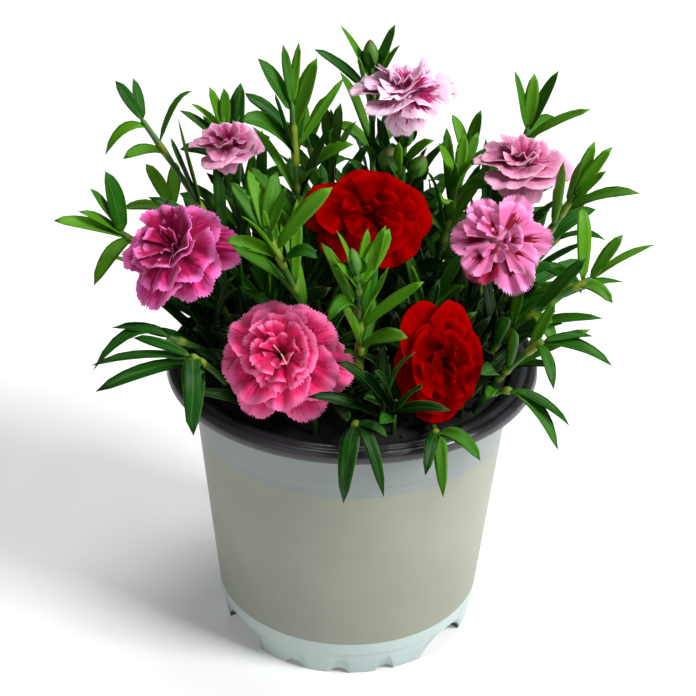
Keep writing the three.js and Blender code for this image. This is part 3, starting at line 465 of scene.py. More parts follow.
bm = new_piece()
rings = [(radius, SOIL_TOP) for radius in range(TOP_RADIUS - TOP_STEP, -1, -TOP_STEP)]
spun(bm, SOIL_WALL + rings, SOIL_STEPS)
for corner in bm.verts:
    if corner.co.z > SOIL_HEIGHT:
        corner.co.z += 0.9 * noise.noise(corner.co * 0.12) + 0.5 * noise.noise(corner.co * 0.5)
for crumb in range(CRUMBS):
    angle = math.pi * scatter(3 * crumb)
    reach = CRUMB_REACH * math.sqrt(abs(scatter(3 * crumb + 1)))
    size = 0.7 + 0.6 * abs(scatter(3 * crumb + 2))
    made = bmesh.ops.create_icosphere(bm, subdivisions=1, radius=size)
    bmesh.ops.scale(bm, vec=(1, 0.8, 0.7), verts=made["verts"])
    place = (reach * math.cos(angle), reach * math.sin(angle), SOIL_HEIGHT + CRUMB_HEIGHT)
    bmesh.ops.translate(bm, vec=place, verts=made["verts"])
finished(bm, "soil_fill", [peat], ["soil"])

# %% [markdown]
# ## Where everything grows
# The plant is written down as a table, in millimetres. A stem is a curve from its place on the soil through the
# point it leans towards. A leaf is given by how far up the stem it sits, where its tip is, its width and how much
# it arches. A bloom is given by its middle, the way it faces and its radius.

# %% Blooms
BLOOMS = {
    "rose": dict(form="double", root=[-19, -20], centre=[-23, -45, 132], face=[-0.1, -0.7, 0.7], radius=22),
    "magenta": dict(form="bowl", root=[-31, -12], centre=[-60, -20, 158.5], face=[-0.34, -0.52, 0.78],
                    radius=20.5),
    "blush": dict(form="cup", root=[-22, 20], centre=[-44, 20, 178.5], face=[-0.05, -0.2, 0.98], radius=13.5,
                  hang=[265]),
    "cream": dict(form="cup", root=[9, 22], centre=[16.5, 18, 200], face=[0, -0.04, 1], radius=19.5,
                  hang=[260, 280]),
    "lilac": dict(form="cup", root=[34, 20], centre=[57, 12, 177], face=[0.1, -0.15, 0.98], radius=17.5,
                  hang=[250, 290]),
    "pink": dict(form="open", root=[31, -4], centre=[48, -15, 160.5], face=[-0.1, -0.82, 0.56], radius=18, dark=4),
    "scarlet": dict(form="broad", root=[4, 4], centre=[5, -9, 165], face=[0.1, -0.8, 0.59], radius=20.5,
                    stretch=[1.08, 0.84], spin=18),
    "crimson": dict(form="broad", root=[20, -24], centre=[29.5, -43, 129.5], face=[0.35, -0.82, 0.4], radius=18.5,
                    stretch=[0.86, 1.1], spin=54),
}
LAYERS = {
    "double": [
        dict(count=6, reach=1.0, tip=-0.04, bend=0.3, half=0.46, teeth=0.03, wave=0.04, rounding=0.42, cup=-0.05),
        dict(count=6, reach=0.86, tip=0.15, bend=0.42, half=0.43, teeth=0.03, wave=0.05, rounding=0.42, cup=-0.02),
        dict(count=4, reach=0.6, tip=0.4, bend=0.54, half=0.44, teeth=0.04, wave=0.06, rounding=0.4, cup=0.1),
    ],
    "bowl": [
        dict(count=6, reach=1.0, tip=0.0, bend=0.32, half=0.5, teeth=0.035, wave=0.05, rounding=0.42, cup=-0.06),
        dict(count=5, reach=0.82, tip=0.22, bend=0.42, half=0.5, teeth=0.035, wave=0.06, rounding=0.42, cup=0.0),
        dict(count=4, reach=0.52, tip=0.56, bend=0.36, half=0.5, teeth=0.035, wave=0.05, rounding=0.38, cup=0.22),
    ],
    "open": [
        dict(count=6, reach=1.0, tip=0.06, bend=0.34, half=0.37, teeth=0.055, wave=0.05, rounding=0.3, cup=0.03,
             stray=1.6),
        dict(count=4, reach=0.76, tip=0.24, bend=0.4, half=0.34, teeth=0.055, wave=0.07, rounding=0.32, cup=0.08,
             stray=2.0),
        dict(count=3, reach=0.46, tip=0.38, bend=0.46, half=0.28, teeth=0.055, wave=0.08, rounding=0.3, cup=0.14,
             stray=2.0),
    ],
    "cup": [
        dict(count=6, reach=1.0, tip=0.2, bend=0.34, half=0.48, teeth=0.035, wave=0.02, rounding=0.36, cup=0.04),
        dict(count=5, reach=0.78, tip=0.3, bend=0.4, half=0.43, teeth=0.035, wave=0.02, rounding=0.34, cup=0.12),
        dict(count=3, reach=0.52, tip=0.42, bend=0.46, half=0.38, teeth=0.035, wave=0.03, rounding=0.32, cup=0.2),
    ],
    "broad": [
        dict(count=5, reach=1.0, tip=0.0, bend=0.36, half=0.62, teeth=0.006, wave=0.03, rounding=0.46, cup=-0.06),
        dict(count=4, reach=0.78, tip=0.22, bend=0.44, half=0.62, teeth=0.006, wave=0.03, rounding=0.44, cup=0.04,
             stray=1.5),
        dict(count=2, reach=0.5, tip=0.46, bend=0.5, half=0.52, teeth=0.006, wave=0.05, rounding=0.36, cup=0.16,
             stray=1.5),
    ],
}
HANGING = dict(reach=0.6, tip=-0.3, bend=0.3, half=0.3, teeth=0.03, wave=0.03, rounding=0.3, cup=-0.04,
               base=0.8, shingle=0, elbow=0.5, phase=0)
CALYX_LENGTH = 15
MOUTH_DEPTH = 0.28
print(len(BLOOMS), "blooms")

# %% Shoots
# Rows of leaves: share of the stem, tip x, y, z, width, arch. Rows of buds: share, tip x, y, z, length, radius.
SHOOTS = {
    "left_tall": dict(root=[-28, 10], bend=[-46, 9, 150], top=[-74, 15, 190], leaves=[
        [0.98, -81, 14, 203, 5, 0], [0.98, -76, 19, 202, 5, 0], [0.88, -56, 16, 200, 4, 8],
        [0.95, -86, 9, 178, 5, 9], [0.84, -79, 6, 178, 5, 5], [0.62, -64, 2, 187, 7, 2],
        [0.6, -61, 4, 194, 7, 1], [0.4, -62, 22, 160, 6, 6],
    ]),
    "left": dict(root=[-37, 4], bend=[-60, 8, 132], top=[-81, 0, 154], leaves=[
        [0.97, -84, 2, 175, 9, 1], [0.98, -89, -3, 171, 5, 1], [0.95, -92, -7, 165, 5, 1],
        [0.93, -101, -10, 162, 6, 3], [0.9, -88, -16, 141, 6, 8], [0.8, -62, 4, 166, 4, -3],
        [0.55, -78, 18, 138, 6, 6],
    ]),
    "left_low": dict(root=[-40, -18], bend=[-46, -23, 121], top=[-62, -31, 130], leaves=[
        [0.95, -86, -36, 119, 5, 17], [0.97, -80, -33, 135, 4, 2], [0.85, -80, -24, 130, 4, 4],
    ]),
    "rim_left": dict(root=[-38, -32], bend=[-44, -38, 122], top=[-53, -45, 131], leaves=[
        [0.95, -51, -60, 109, 9, 12], [0.8, -84, -49, 119, 5.5, 6], [0.93, -87, -42, 126, 4.5, 4],
        [0.95, -72, -40, 135, 4, 2],
    ]),
    "crown": dict(root=[-9, 8], bend=[-20, 7, 150], top=[-22, 12, 198], leaves=[
        [0.96, -33, 14, 212, 8, 0], [0.98, -25, 16, 216, 4, 0], [0.98, -20, 19, 216, 4, 0],
        [0.9, -14, 15, 212, 8, 0], [0.86, -38, 8, 201, 5, 5], [0.8, -39, 2, 194, 8, 10],
        [0.82, -5, 24, 203, 4, -2], [0.68, -1, 4, 186, 7, 7], [0.5, -36, 14, 176, 6, 3],
    ]),
    "crown_back": dict(root=[-4, 26], bend=[-8, 27, 140], top=[-9, 26, 174], leaves=[
        [0.95, -12, 26, 191, 6, 0], [0.95, -6, 28, 191, 5, 0], [0.9, 0, 25, 186, 6, 2], [0.85, -17, 24, 182, 6, 2],
        [0.6, -12, 44, 160, 6, 6],
    ]),
    "mid_left": dict(root=[-8, -12], bend=[-15, -26, 138], top=[-30, -22, 167], leaves=[
        [0.93, -41, -18, 181, 6, 2], [0.97, -35, -14, 184, 6, 0], [0.98, -26, -13, 183, 7, 1],
        [0.95, -22, -19, 180, 5, 1], [0.9, -29, -27, 176, 4, 0], [0.86, -8, -22, 182, 7, 3],
        [0.78, -12, -31, 160, 7, 7], [0.82, -42, -31, 166, 6, 3],
    ]),
    "back_left": dict(root=[-22, 36], bend=[-38, 37, 150], top=[-47, 35, 178], leaves=[
        [0.97, -52, 35, 193, 5, 0], [0.97, -47, 38, 192, 5, 0], [0.93, -41, 43, 192, 6, 0],
        [0.9, -58, 33, 187, 5, 3], [0.75, -64, 44, 166, 6, 6], [0.75, -32, 50, 168, 6, 6],
        [0.5, -48, 56, 142, 6, 8],
    ]),
    "bud_high": dict(root=[8, 44], bend=[6, 47, 160], top=[5, 43, 197], buds=[
        [0.98, 4, 43, 209, 10, 2.9],
    ], leaves=[
        [0.95, -6, 43, 214, 6, 0], [0.95, 13, 45, 214, 5, 0], [0.9, 15, 46, 206, 4, 3], [0.88, -15, 38, 207, 6, 2],
        [0.6, 22, 60, 172, 6, 7], [0.6, -10, 62, 170, 6, 7],
    ]),
    "bud_mid": dict(root=[17, 12], bend=[15, 14, 150], top=[12, 12, 174], leaves=[
        [0.9, 24, 2, 190, 5, 2], [0.85, 3, 20, 178, 5, 4], [0.7, 26, 22, 160, 5, 5],
    ], buds=[[0.98, 11, 8, 183, 10, 4.6], [0.7, 23, 7, 181, 9, 3.2]]),
    "mid_right": dict(root=[25, 8], bend=[30, 16, 142], top=[36, 15, 170], leaves=[
        [0.95, 28, 16, 182, 5, 0], [0.97, 37, 20, 184, 5, 0], [0.97, 44, 21, 183, 5, 1], [0.9, 33, 11, 177, 6, 1],
        [0.85, 46, 6, 171, 5, 6], [0.7, 30, -2, 168, 8, 9], [0.6, 22, 3, 160, 6, 6],
    ]),
    "right_tall": dict(root=[34, 34], bend=[52, 39, 145], top=[61, 38, 180], leaves=[
        [0.97, 55, 39, 200, 5, 0], [0.98, 62, 41, 198, 6, 0], [0.96, 70, 40, 200, 6, 0], [0.9, 82, 33, 188, 4, 5],
        [0.85, 72, 54, 178, 6, 6], [0.6, 76, 34, 160, 6, 7], [0.6, 46, 58, 160, 6, 7],
    ]),
    "right_high": dict(root=[44, 10], bend=[60, 8, 138], top=[74, 0, 171], leaves=[
        [0.97, 85, 2, 188, 5, 0], [0.96, 80, 6, 188, 5, 0], [0.93, 84, -4, 181, 5, 1], [0.93, 76, 1, 184, 6, 1],
        [0.88, 95, -5, 174, 5.5, 6], [0.78, 67, -13, 188, 5, 1], [0.6, 84, 14, 160, 6, 6],
    ]),
    "right": dict(root=[42, -12], bend=[51, -24, 134], top=[80, -22, 151], leaves=[
        [0.97, 88, -20, 166, 5, 1], [0.96, 99, -21, 163, 4, 3], [0.93, 75, -14, 173, 6, 6],
        [0.9, 86, -27, 144, 5, 6], [0.62, 76, -26, 160, 6, 1], [0.6, 68, -30, 128, 6, 7],
        [0.75, 92, -14, 146, 5, 5],
    ]),
    "right_low": dict(root=[46, -24], bend=[52, -32, 122], top=[63, -37, 135], leaves=[
        [0.93, 85, -40, 127, 6, 8], [0.97, 79, -37, 137, 4, 2], [0.9, 66, -50, 124, 5, 7],
        [0.8, 66, -32, 147, 5, 0],
    ]),
    "rim_right": dict(root=[42, -33], bend=[46, -40, 118], top=[52, -48, 122], leaves=[
        [0.95, 72, -57, 116, 5, 6], [0.93, 68, -63, 109, 6, 10], [0.6, 44, -54, 122, 5, 5],
    ]),
    "front": dict(root=[2, -36], bend=[3, -45, 140], top=[1, -45, 160], buds=[
        [0.98, -1, -44, 171, 9, 2.4],
    ], leaves=[
        [0.94, -5, -46, 178, 4, 1], [0.94, 11, -40, 176, 7, 1], [0.96, 4, -40, 176, 4, 0],
        [0.9, -7, -51, 168, 4, 5], [0.72, -8, -57, 151, 6, 12], [0.6, 23, -46, 160, 6, 2],
        [0.45, 17, -54, 145, 6, 4], [0.35, -3, -54, 138, 4, 3],
    ]),
    "rim_front": dict(root=[2, -48], bend=[2, -55, 115], top=[1, -62, 115], leaves=[
        [0.95, -2, -74, 94, 7.5, 12], [0.85, 11, -73, 96, 5, 14], [0.8, 12, -66, 115, 4, 4],
    ]),
    "rim_mid": dict(root=[27, -40], bend=[27, -50, 107.5], top=[28, -56, 110], leaves=[
        [0.95, 24, -72, 104, 5, 9], [0.9, 30, -74, 97, 5.5, 12], [0.95, 42, -68, 108, 6, 7],
    ]),
    "back": dict(root=[-8, 46], bend=[-12, 58, 140], top=[-18, 62, 164], leaves=[
        [0.97, -22, 65, 182, 6, 0], [0.95, -12, 68, 178, 6, 2], [0.9, -32, 68, 166, 6, 5],
        [0.7, -2, 73, 150, 6, 7], [0.7, -36, 60, 148, 6, 6], [0.4, -18, 74, 128, 6, 9],
    ]),
    "back_right": dict(root=[28, 44], bend=[36, 56, 136], top=[42, 62, 158], leaves=[
        [0.97, 46, 65, 175, 6, 0], [0.95, 36, 68, 172, 6, 2], [0.9, 56, 62, 158, 6, 5], [0.7, 28, 73, 142, 6, 7],
        [0.5, 56, 50, 134, 6, 7],
    ]),
    "side_left": dict(root=[-42, 24], bend=[-56, 34, 128], top=[-68, 40, 146], leaves=[
        [0.97, -76, 44, 160, 6, 1], [0.95, -66, 50, 158, 6, 2], [0.9, -84, 34, 146, 5, 5],
        [0.6, -62, 54, 128, 6, 8], [0.6, -76, 20, 130, 6, 7],
    ]),
    "side_right": dict(root=[48, 22], bend=[62, 28, 126], top=[76, 32, 142], leaves=[
        [0.97, 84, 36, 156, 6, 1], [0.95, 72, 42, 154, 6, 2], [0.9, 90, 24, 142, 5, 5], [0.6, 66, 48, 124, 6, 8],
        [0.6, 82, 12, 128, 6, 7],
    ]),
}
SHORT_SHOOTS = {
    "fill_left": dict(root=[-27, -3], top=[-30, -5, 132]),
    "fill_right": dict(root=[24, -8], top=[26, -12, 134]),
    "fill_far_left": dict(root=[-40, 12], top=[-48, 18, 126]),
    "fill_back_left": dict(root=[-16, 20], top=[-18, 24, 146]),
    "fill_back_right": dict(root=[20, 32], top=[22, 36, 144]),
}
RIM_SHOOTS = ("left_low", "rim_left", "rim_right", "rim_front", "rim_mid")  # short ones that hang over the rim
LOW_LEAVES = {  # share of the stem, length, and rise in degrees
    "rim": [],
    "shoot": [(0.3, 27, 32)],
    "flower": [(0.26, 27, 30), (0.5, 25, 42)],
    "short": [(0.35, 28, 25), (0.6, 28, 38), (0.85, 26, 52), (0.98, 22, 74)],
}
print(len(SHOOTS) + len(SHORT_SHOOTS), "leafy shoots")


# %% [markdown]
# ## Curves
# Stems and leaves are quadratic curves of three points, which is enough for one bend. The point and the direction
# on such a curve are short sums, so a tube or a blade can be laid along it at any length.

# %% Curve helpers
def vec(values):
    return np.array(values, float)


def unit(vectors):
    return vectors / np.sqrt((vectors * vectors).sum(-1, keepdims=True))


def on_curve(curve, t):
    """The point at a share of a curve, or many points for many shares."""
    start, middle, end = curve
    t = np.asarray(t, float)[..., None]
    return (1 - t) ** 2 * start + 2 * (1 - t) * t * middle + t ** 2 * end


def along_curve(curve, t):
    start, middle, end = curve
    t = np.asarray(t, float)[..., None]
    return unit((1 - t) * (middle - start) + t * (end - middle) + 1e-9)


def ring_axes(direction):
    """Two directions square to a stem."""
    across = unit(np.cross(direction, vec([0.0, -1.0, 0.02])))
    return across, np.cross(direction, across)


def stem_curve(root, bend, top):
    return vec([*root, SOIL_HEIGHT + 2]), vec(bend), vec(top)


def spoke_at(axis, angle):
    """A direction square to an axis, turned round it by an angle."""
    across, outwards = ring_axes(axis)
    return across * math.cos(angle) + outwards * math.sin(angle)


def tube(point, direction, reach, u):
    """Points round a line at a distance from it, once round while u runs from 0 to 1."""
    across, outwards = ring_axes(direction)
    angle = 2 * math.pi * u
    return point + across * (reach * np.cos(angle))[:, None] + outwards * (reach * np.sin(angle))[:, None]


def petal_frame(bloom):
    """The bloom's own directions, and the middle of its calyx's mouth."""
    axis = unit(vec(bloom["face"]))
    across = vec([1, 0, 0])
    across = unit(across - axis * float(across @ axis))
    upwards = np.cross(axis, across)
    mouth = vec(bloom["centre"]) - axis * MOUTH_DEPTH * bloom["radius"]
    return dict(axis=axis, across=across, upwards=upwards, mouth=mouth, stretch=bloom.get("stretch", [1, 1]))


STEM_PULL = 0.45  # how far down a flower stem starts to bend, as a share of its height


def flower_stem(bloom, place):
    """A flower stem ends in its calyx, so it bends until it points the way the bloom looks."""
    top = place["mouth"] + place["axis"] * (1 - CALYX_LENGTH)
    bend = top - place["axis"] * STEM_PULL * (top[2] - SOIL_HEIGHT)
    return stem_curve(bloom["root"], bend, top)


for name, bloom in BLOOMS.items():
    print(name, "calyx opens at", np.round(petal_frame(bloom)["mouth"], 1))

# %% [markdown]
# ## One petal
# A petal leaves the calyx as a narrow claw, rises, and then spreads outwards into a fan with a cut edge. Two
# curves of the same kind give how far out and how far up its middle line runs. Its width grows along it, waves
# run across it, and one side lies a little over its neighbour's.

# %% The petal formula
def petal_point(place, petal, s, t):
    """Points of a petal in mm: s runs from -1 to 1 across it and t from 0 to 1 along it."""
    radius, layer = petal["radius"], petal["layer"]
    u = t * (1 - layer["rounding"] * (0.35 * s ** 2 + 0.65 * s ** 6))
    near, mid, far = (1 - u) ** 2, 2 * u * (1 - u), u ** 2
    elbow = layer.get("elbow", 0.3 * layer["reach"])
    out = near + mid * elbow * radius + far * layer["reach"] * radius
    rise = near * layer["base"] + mid * layer["bend"] * radius + far * layer["tip"] * radius
    half = layer["half"] * radius * (0.08 + 0.92 * np.maximum(t, 0) ** 1.4)
    rise = rise + layer["wave"] * radius * np.sin(2.5 * math.pi * s + layer["phase"]) * t * t
    rise = rise + (layer["shingle"] * s + layer["cup"] * s * s) * radius * t
    cos, sin = math.cos(petal["turn"]), math.sin(petal["turn"])
    x = (out * cos - s * half * sin) * place["stretch"][0]
    y = (out * sin + s * half * cos) * place["stretch"][1]
    spread = np.multiply.outer(x, place["across"]) + np.multiply.outer(y, place["upwards"])
    return place["mouth"] + spread + np.multiply.outer(rise, place["axis"])


STRAY = dict(reach=0.09, tip=0.1, half=0.12, shingle=0.07, phase=2)  # how far a petal strays from its layer
STRAY_TURN = 9  # degrees


def grown_shape(layer, seed):
    """A petal's own shape: it strays a little from its layer's."""
    stray = layer.get("stray", 1)
    return {
        **layer,
        "reach": layer["reach"] * (1 + STRAY["reach"] * stray * scatter(seed + 1)),
        "tip": layer["tip"] + STRAY["tip"] * stray * scatter(seed + 2),
        "half": layer["half"] * (1 + STRAY["half"] * scatter(seed + 3)),
        "shingle": layer["shingle"] + STRAY["shingle"] * stray * scatter(seed + 4),
        "phase": STRAY["phase"] * scatter(seed + 5),
    }


def petals_of(bloom, number):
    """All petals of a bloom: its layers from the outside in, then those that hang."""
    petals = []
    for level, layer in enumerate(LAYERS[bloom["form"]]):
        for k in range(layer["count"]):
            seed = 100 * number + 10 * level + k
            spaced = 360 * (k + 0.5 * level) / layer["count"]
            turn = math.radians(spaced + STRAY_TURN * scatter(seed) + bloom.get("spin", 0))
            shape = grown_shape(dict(base=0.9 + 1.1 * level, shingle=0.08, **layer), seed)
            petals.append(dict(radius=bloom["radius"], layer=shape, turn=turn, seed=seed, level=level))
    for angle in bloom.get("hang", []):
        turn = math.radians(angle)
        petals.append(dict(radius=bloom["radius"], layer=HANGING, turn=turn, seed=angle, level=0))
    return petals


print([len(petals_of(bloom, 0)) for bloom in BLOOMS.values()], "petals in the blooms")

# %% [markdown]
# ## Room for every leaf
# In a real clump the leaves push each other aside. Each piece leaves points in a shared list, the room, and a new
# leaf is tried as written, then swung, lifted and shortened until it is clear of the others. The order of the
# tries is fixed, so the same leaf always settles in the same place.

# %% The room
STEM_RADIUS, CALYX_RADIUS = 1.3, 3.6
BLADE_ROOM, PETAL_ROOM = 0.3, 0.45  # half the thickness that a leaf and a petal take up
CLEARANCE = 2.4  # between the blades of two shoots
RIM_RADIUS, NECK_RADIUS, WALL, POT_HEIGHT = 66, 57.9, 1.4, 107.5
LOOK_ROUND = 7  # points further from a leaf than this are not compared with it
room_points, room_reach, room_owner = [], [], []


def occupy(owner, points, radius):
    room_points.extend(points)
    room_reach.extend([radius + CLEARANCE] * len(points))
    room_owner.extend([owner] * len(points))


def leaf_curve(base, leaf, swing, lift, trim):
    """The middle line of a leaf, turned about the upright through its base, lifted at its tip and shortened."""
    x, y, z = leaf["tip"] - base
    cos, sin = math.cos(math.radians(swing)), math.sin(math.radians(swing))
    chord = vec([x * cos - y * sin, x * sin + y * cos, z]) * trim + vec([0, 0, lift])
    return base, base + 0.5 * chord + vec([0, 0, leaf["arch"]]), base + chord


SUN = [0.15, -0.75, 0.6]  # where the light comes from
TURN, MOST_TURN = 0.6, 38  # a leaf turns by this share of the way to face it, and by so many degrees at most
LEAF_SAMPLES = np.arange(2, 11) / 10


def leaf_side(curve):
    """The direction across a leaf: level at first, then rolled so that its upper face looks towards the light."""
    chord = unit(curve[2] - curve[0])
    level = unit(vec([-chord[1], chord[0], 0]))
    top, sun = np.cross(chord, level), unit(vec(SUN))
    roll = TURN * math.atan2(-float(level @ sun), float(top @ sun))
    roll = max(-math.radians(MOST_TURN), min(math.radians(MOST_TURN), roll))
    return level * math.cos(roll) + top * math.sin(roll)


def leaf_points(curve, width):
    half = 0.5 * width * np.sin(math.pi * np.minimum(0.9, 0.15 + 0.75 * LEAF_SAMPLES))
    across = np.outer(half, leaf_side(curve))
    return np.concatenate([on_curve(curve, LEAF_SAMPLES) + way * across for way in (-0.8, 0, 0.8)])


def clear_of_pot(points):
    reach, height = np.hypot(points[:, 0], points[:, 1]), points[:, 2]
    inside = reach < NECK_RADIUS - WALL - 2
    over_soil = inside & (height > SOIL_HEIGHT + 1.5)
    off_rim = ~inside & ((reach > RIM_RADIUS + 1.5) | (height > POT_HEIGHT + 1.2))
    return bool((over_soil | off_rim).all())


class Room:
    """The points of all other owners, held as arrays while one stem's leaves settle."""

    def __init__(self, owner, spare=1.0):
        others = np.array([name != owner for name in room_owner])
        petals = np.array([name.startswith("bloom_") for name in room_owner])[others]
        self.points = np.array(room_points)[others]
        self.reach = np.array(room_reach)[others] * np.where(petals, 1.0, spare)

    def is_clear(self, points):
        if not clear_of_pot(points):
            return False
        low, high = points.min(0) - LOOK_ROUND, points.max(0) + LOOK_ROUND
        near = ((self.points > low) & (self.points < high)).all(1)
        distance = np.sqrt(((points[:, None, :] - self.points[near][None]) ** 2).sum(2))
        return bool((distance > self.reach[near][None]).all())


# %% Where a leaf settles
TRIMS = (1, 0.8, 0.6)  # shares of a leaf's length
LIFTS = (0, 4, -4, 8)
SWINGS = (0, 8, -8, 16, -16, 26, -26, 38, -38)  # degrees
SPIRAL = 137.5  # degrees from one leaf to the next on a plant


def settled(room, base, leaf):
    """The first place where a leaf has room, or none."""
    for trim, lift, swing in itertools.product(TRIMS, LIFTS, SWINGS):
        curve = leaf_curve(base, leaf, swing, lift, trim)
        if room.is_clear(leaf_points(curve, leaf["width"])):
            return curve
    return None


def reach_out(length, azimuth, rise):
    """The way from a leaf's base to its tip, from its length and two angles in degrees."""
    azimuth, rise = math.radians(azimuth), math.radians(rise)
    out = length * math.cos(rise)
    return vec([out * math.cos(azimuth), out * math.sin(azimuth), length * math.sin(rise)])


def low_leaf(curve, number, row):
    """A leaf that points along the plant's spiral."""
    share, length, rise = row
    tip = on_curve(curve, share) + reach_out(length, SPIRAL * number, rise)
    return dict(share=share, tip=tip, width=6, arch=4)


def settled_leaves(owner, curve, rows, kind, number):
    """The leaves of one stem as [share, curve, width], each where it has room."""
    leaves = [dict(share=row[0], tip=vec(row[1:4]), width=row[4], arch=row[5]) for row in rows]
    leaves += [low_leaf(curve, 2 * number + k, row) for k, row in enumerate(LOW_LEAVES[kind])]
    room = Room(owner)
    grown = []
    for leaf in leaves:
        line = settled(room, on_curve(curve, leaf["share"]), leaf)
        if line is not None:
            occupy(owner, leaf_points(line, leaf["width"]), BLADE_ROOM)
            grown.append((leaf["share"], line, leaf["width"]))
    return grown


print("a leaf is tried in up to", len(TRIMS) * len(LIFTS) * len(SWINGS), "places")

# %% Let the leaves settle
STEM_SAMPLES = np.arange(21) / 20
CALYX_SAMPLES = (2, 6, 10)  # heights under the mouth
ACROSS_SAMPLES = np.tile((-0.96, -0.64, -0.32, 0, 0.32, 0.64, 0.96), 6)
ALONG_SAMPLES = np.repeat((0.2, 0.35, 0.5, 0.65, 0.8, 0.95), 7)
blooms = []
for number, (name, bloom) in enumerate(BLOOMS.items()):
    place = petal_frame(bloom)
    curve = flower_stem(bloom, place)
    petals = petals_of(bloom, number)
    occupy(f"stem_{name}", on_curve(curve, STEM_SAMPLES), STEM_RADIUS)
    occupy(f"stem_{name}", [place["mouth"] - place["axis"] * down for down in CALYX_SAMPLES], CALYX_RADIUS)
    for petal in petals:
        occupy(f"bloom_{name}", petal_point(place, petal, ACROSS_SAMPLES, ALONG_SAMPLES), PETAL_ROOM)
    blooms.append(dict(name=name, bloom=bloom, place=place, curve=curve, petals=petals))

shoots = []
for name, shoot in {**SHOOTS, **SHORT_SHOOTS}.items():
    bend = shoot.get("bend", [*shoot["root"], 0.5 * (SOIL_HEIGHT + shoot["top"][2])])
    curve = stem_curve(shoot["root"], bend, shoot["top"])
    buds = shoot.get("buds", [])
    occupy(f"shoot_{name}", on_curve(curve, STEM_SAMPLES), STEM_RADIUS)
    for share, x, y, z, length, radius in buds:
        occupy(f"shoot_{name}", [vec([x, y, z - 0.6 * length])], radius)
    shoots.append(dict(name=name, curve=curve, rows=shoot.get("leaves", []), buds=buds))

for number, shoot in enumerate(shoots):
    kind = "rim" if shoot["name"] in RIM_SHOOTS else "shoot" if shoot["rows"] else "short"
    shoot["leaves"] = settled_leaves(f"shoot_{shoot['name']}", shoot["curve"], shoot["rows"], kind, number)
for number, bloom in enumerate(blooms):
    owner = f"stem_{bloom['name']}"
    bloom["leaves"] = settled_leaves(owner, bloom["curve"], [], "flower", len(shoots) + number)
print(sum(len(piece["leaves"]) for piece in shoots + blooms), "leaves have settled")

# %% [markdown]
# ## Young leaves
# Between the grown leaves every stem has small pairs that stand close to it, each pair square to the one below.
# On the soil, tufts of short leaves fill the middle of the clump. They use the room that is left, and may come
# closer to their neighbours than the grown leaves do.

# %% Pairs close to the stems
PAIR_SHARES = (0.26, 0.44, 0.62, 0.78)
OUTER_REACH = 60  # a shoot whose top is further out than this has young leaves on its lower part only
FRONT_ROOT = -20  # stems rooted in front of this have no lowest pair
SPARE_ROOM = 0.42
FURTHEST = vec([98, 72])  # young leaves stay within the plant's length and depth


def pair_leaf(curve, share, azimuth):
    """A leaf that stands close to its stem: longer and more open low down, shorter and steeper near the top."""
    direction = along_curve(curve, share)
    spoke = spoke_at(direction, azimuth)
    spread = math.radians(38 - 18 * share)
    length = 38 - 12 * share
    tip = on_curve(curve, share) + (direction * math.cos(spread) + spoke * math.sin(spread)) * length
    return dict(share=share, tip=tip, width=5.8 - 1.4 * share, arch=3.5)


def add_young_leaves(owner, piece, shares, number):
    room = Room(owner, SPARE_ROOM)
    for j, share in enumerate(shares):
        azimuth = math.radians(90 * j + 60 * scatter(number) + 25 * scatter(10 * number + j))
        for way in (0, math.pi):
            young = pair_leaf(piece["curve"], share, azimuth + way)
            line = settled(room, on_curve(piece["curve"], share), young)
            if line is not None and bool((np.abs(line[2][:2]) < FURTHEST).all()):
                occupy(owner, leaf_points(line, young["width"]), BLADE_ROOM)
                piece["leaves"].append((share, line, young["width"]))


def pair_shares(piece, most):
    """Where a stem's young pairs stand: the lowest is left out at the front."""
    by_the_front = bool(piece["curve"][0][1] < FRONT_ROOT)
    return PAIR_SHARES[by_the_front:most]


for number, shoot in enumerate(shoots):
    if shoot["name"] not in RIM_SHOOTS:
        outer = math.hypot(*shoot["curve"][2][:2]) > OUTER_REACH
        add_young_leaves(f"shoot_{shoot['name']}", shoot, pair_shares(shoot, 2 if outer else 4), number)
for number, bloom in enumerate(blooms):
    add_young_leaves(f"stem_{bloom['name']}", bloom, pair_shares(bloom, 3), 50 + number)
print(sum(len(piece["leaves"]) for piece in shoots + blooms), "leaves with the young ones")

# %% Tufts on the soil
SPIRAL_TUFTS = 26
SPIRAL_START, SPIRAL_END = 9, 50  # how far from the middle the first and the last of them stand
WALL_TUFTS = ([50, -12], [50, 4], [45, -27], [37, -37], [14, -49], [-12, -49], [-28, -42], [-49, -8], [-50, 8])
TUFT_SPACE = 4  # between a tuft and the root of a stem
TUFT_LEAVES, TUFT_WIDTH, TUFT_ARCH = 9, 5.2, 3.0


def tuft_root(number):
    """The tufts follow the plant's spiral over the soil, and the last ones stand by the wall."""
    if number >= SPIRAL_TUFTS:
        return vec(WALL_TUFTS[number - SPIRAL_TUFTS])
    reach = SPIRAL_START + (SPIRAL_END - SPIRAL_START) * math.sqrt(number / SPIRAL_TUFTS)
    azimuth = math.radians(SPIRAL * number)
    return vec([reach * math.cos(azimuth), reach * math.sin(azimuth)])


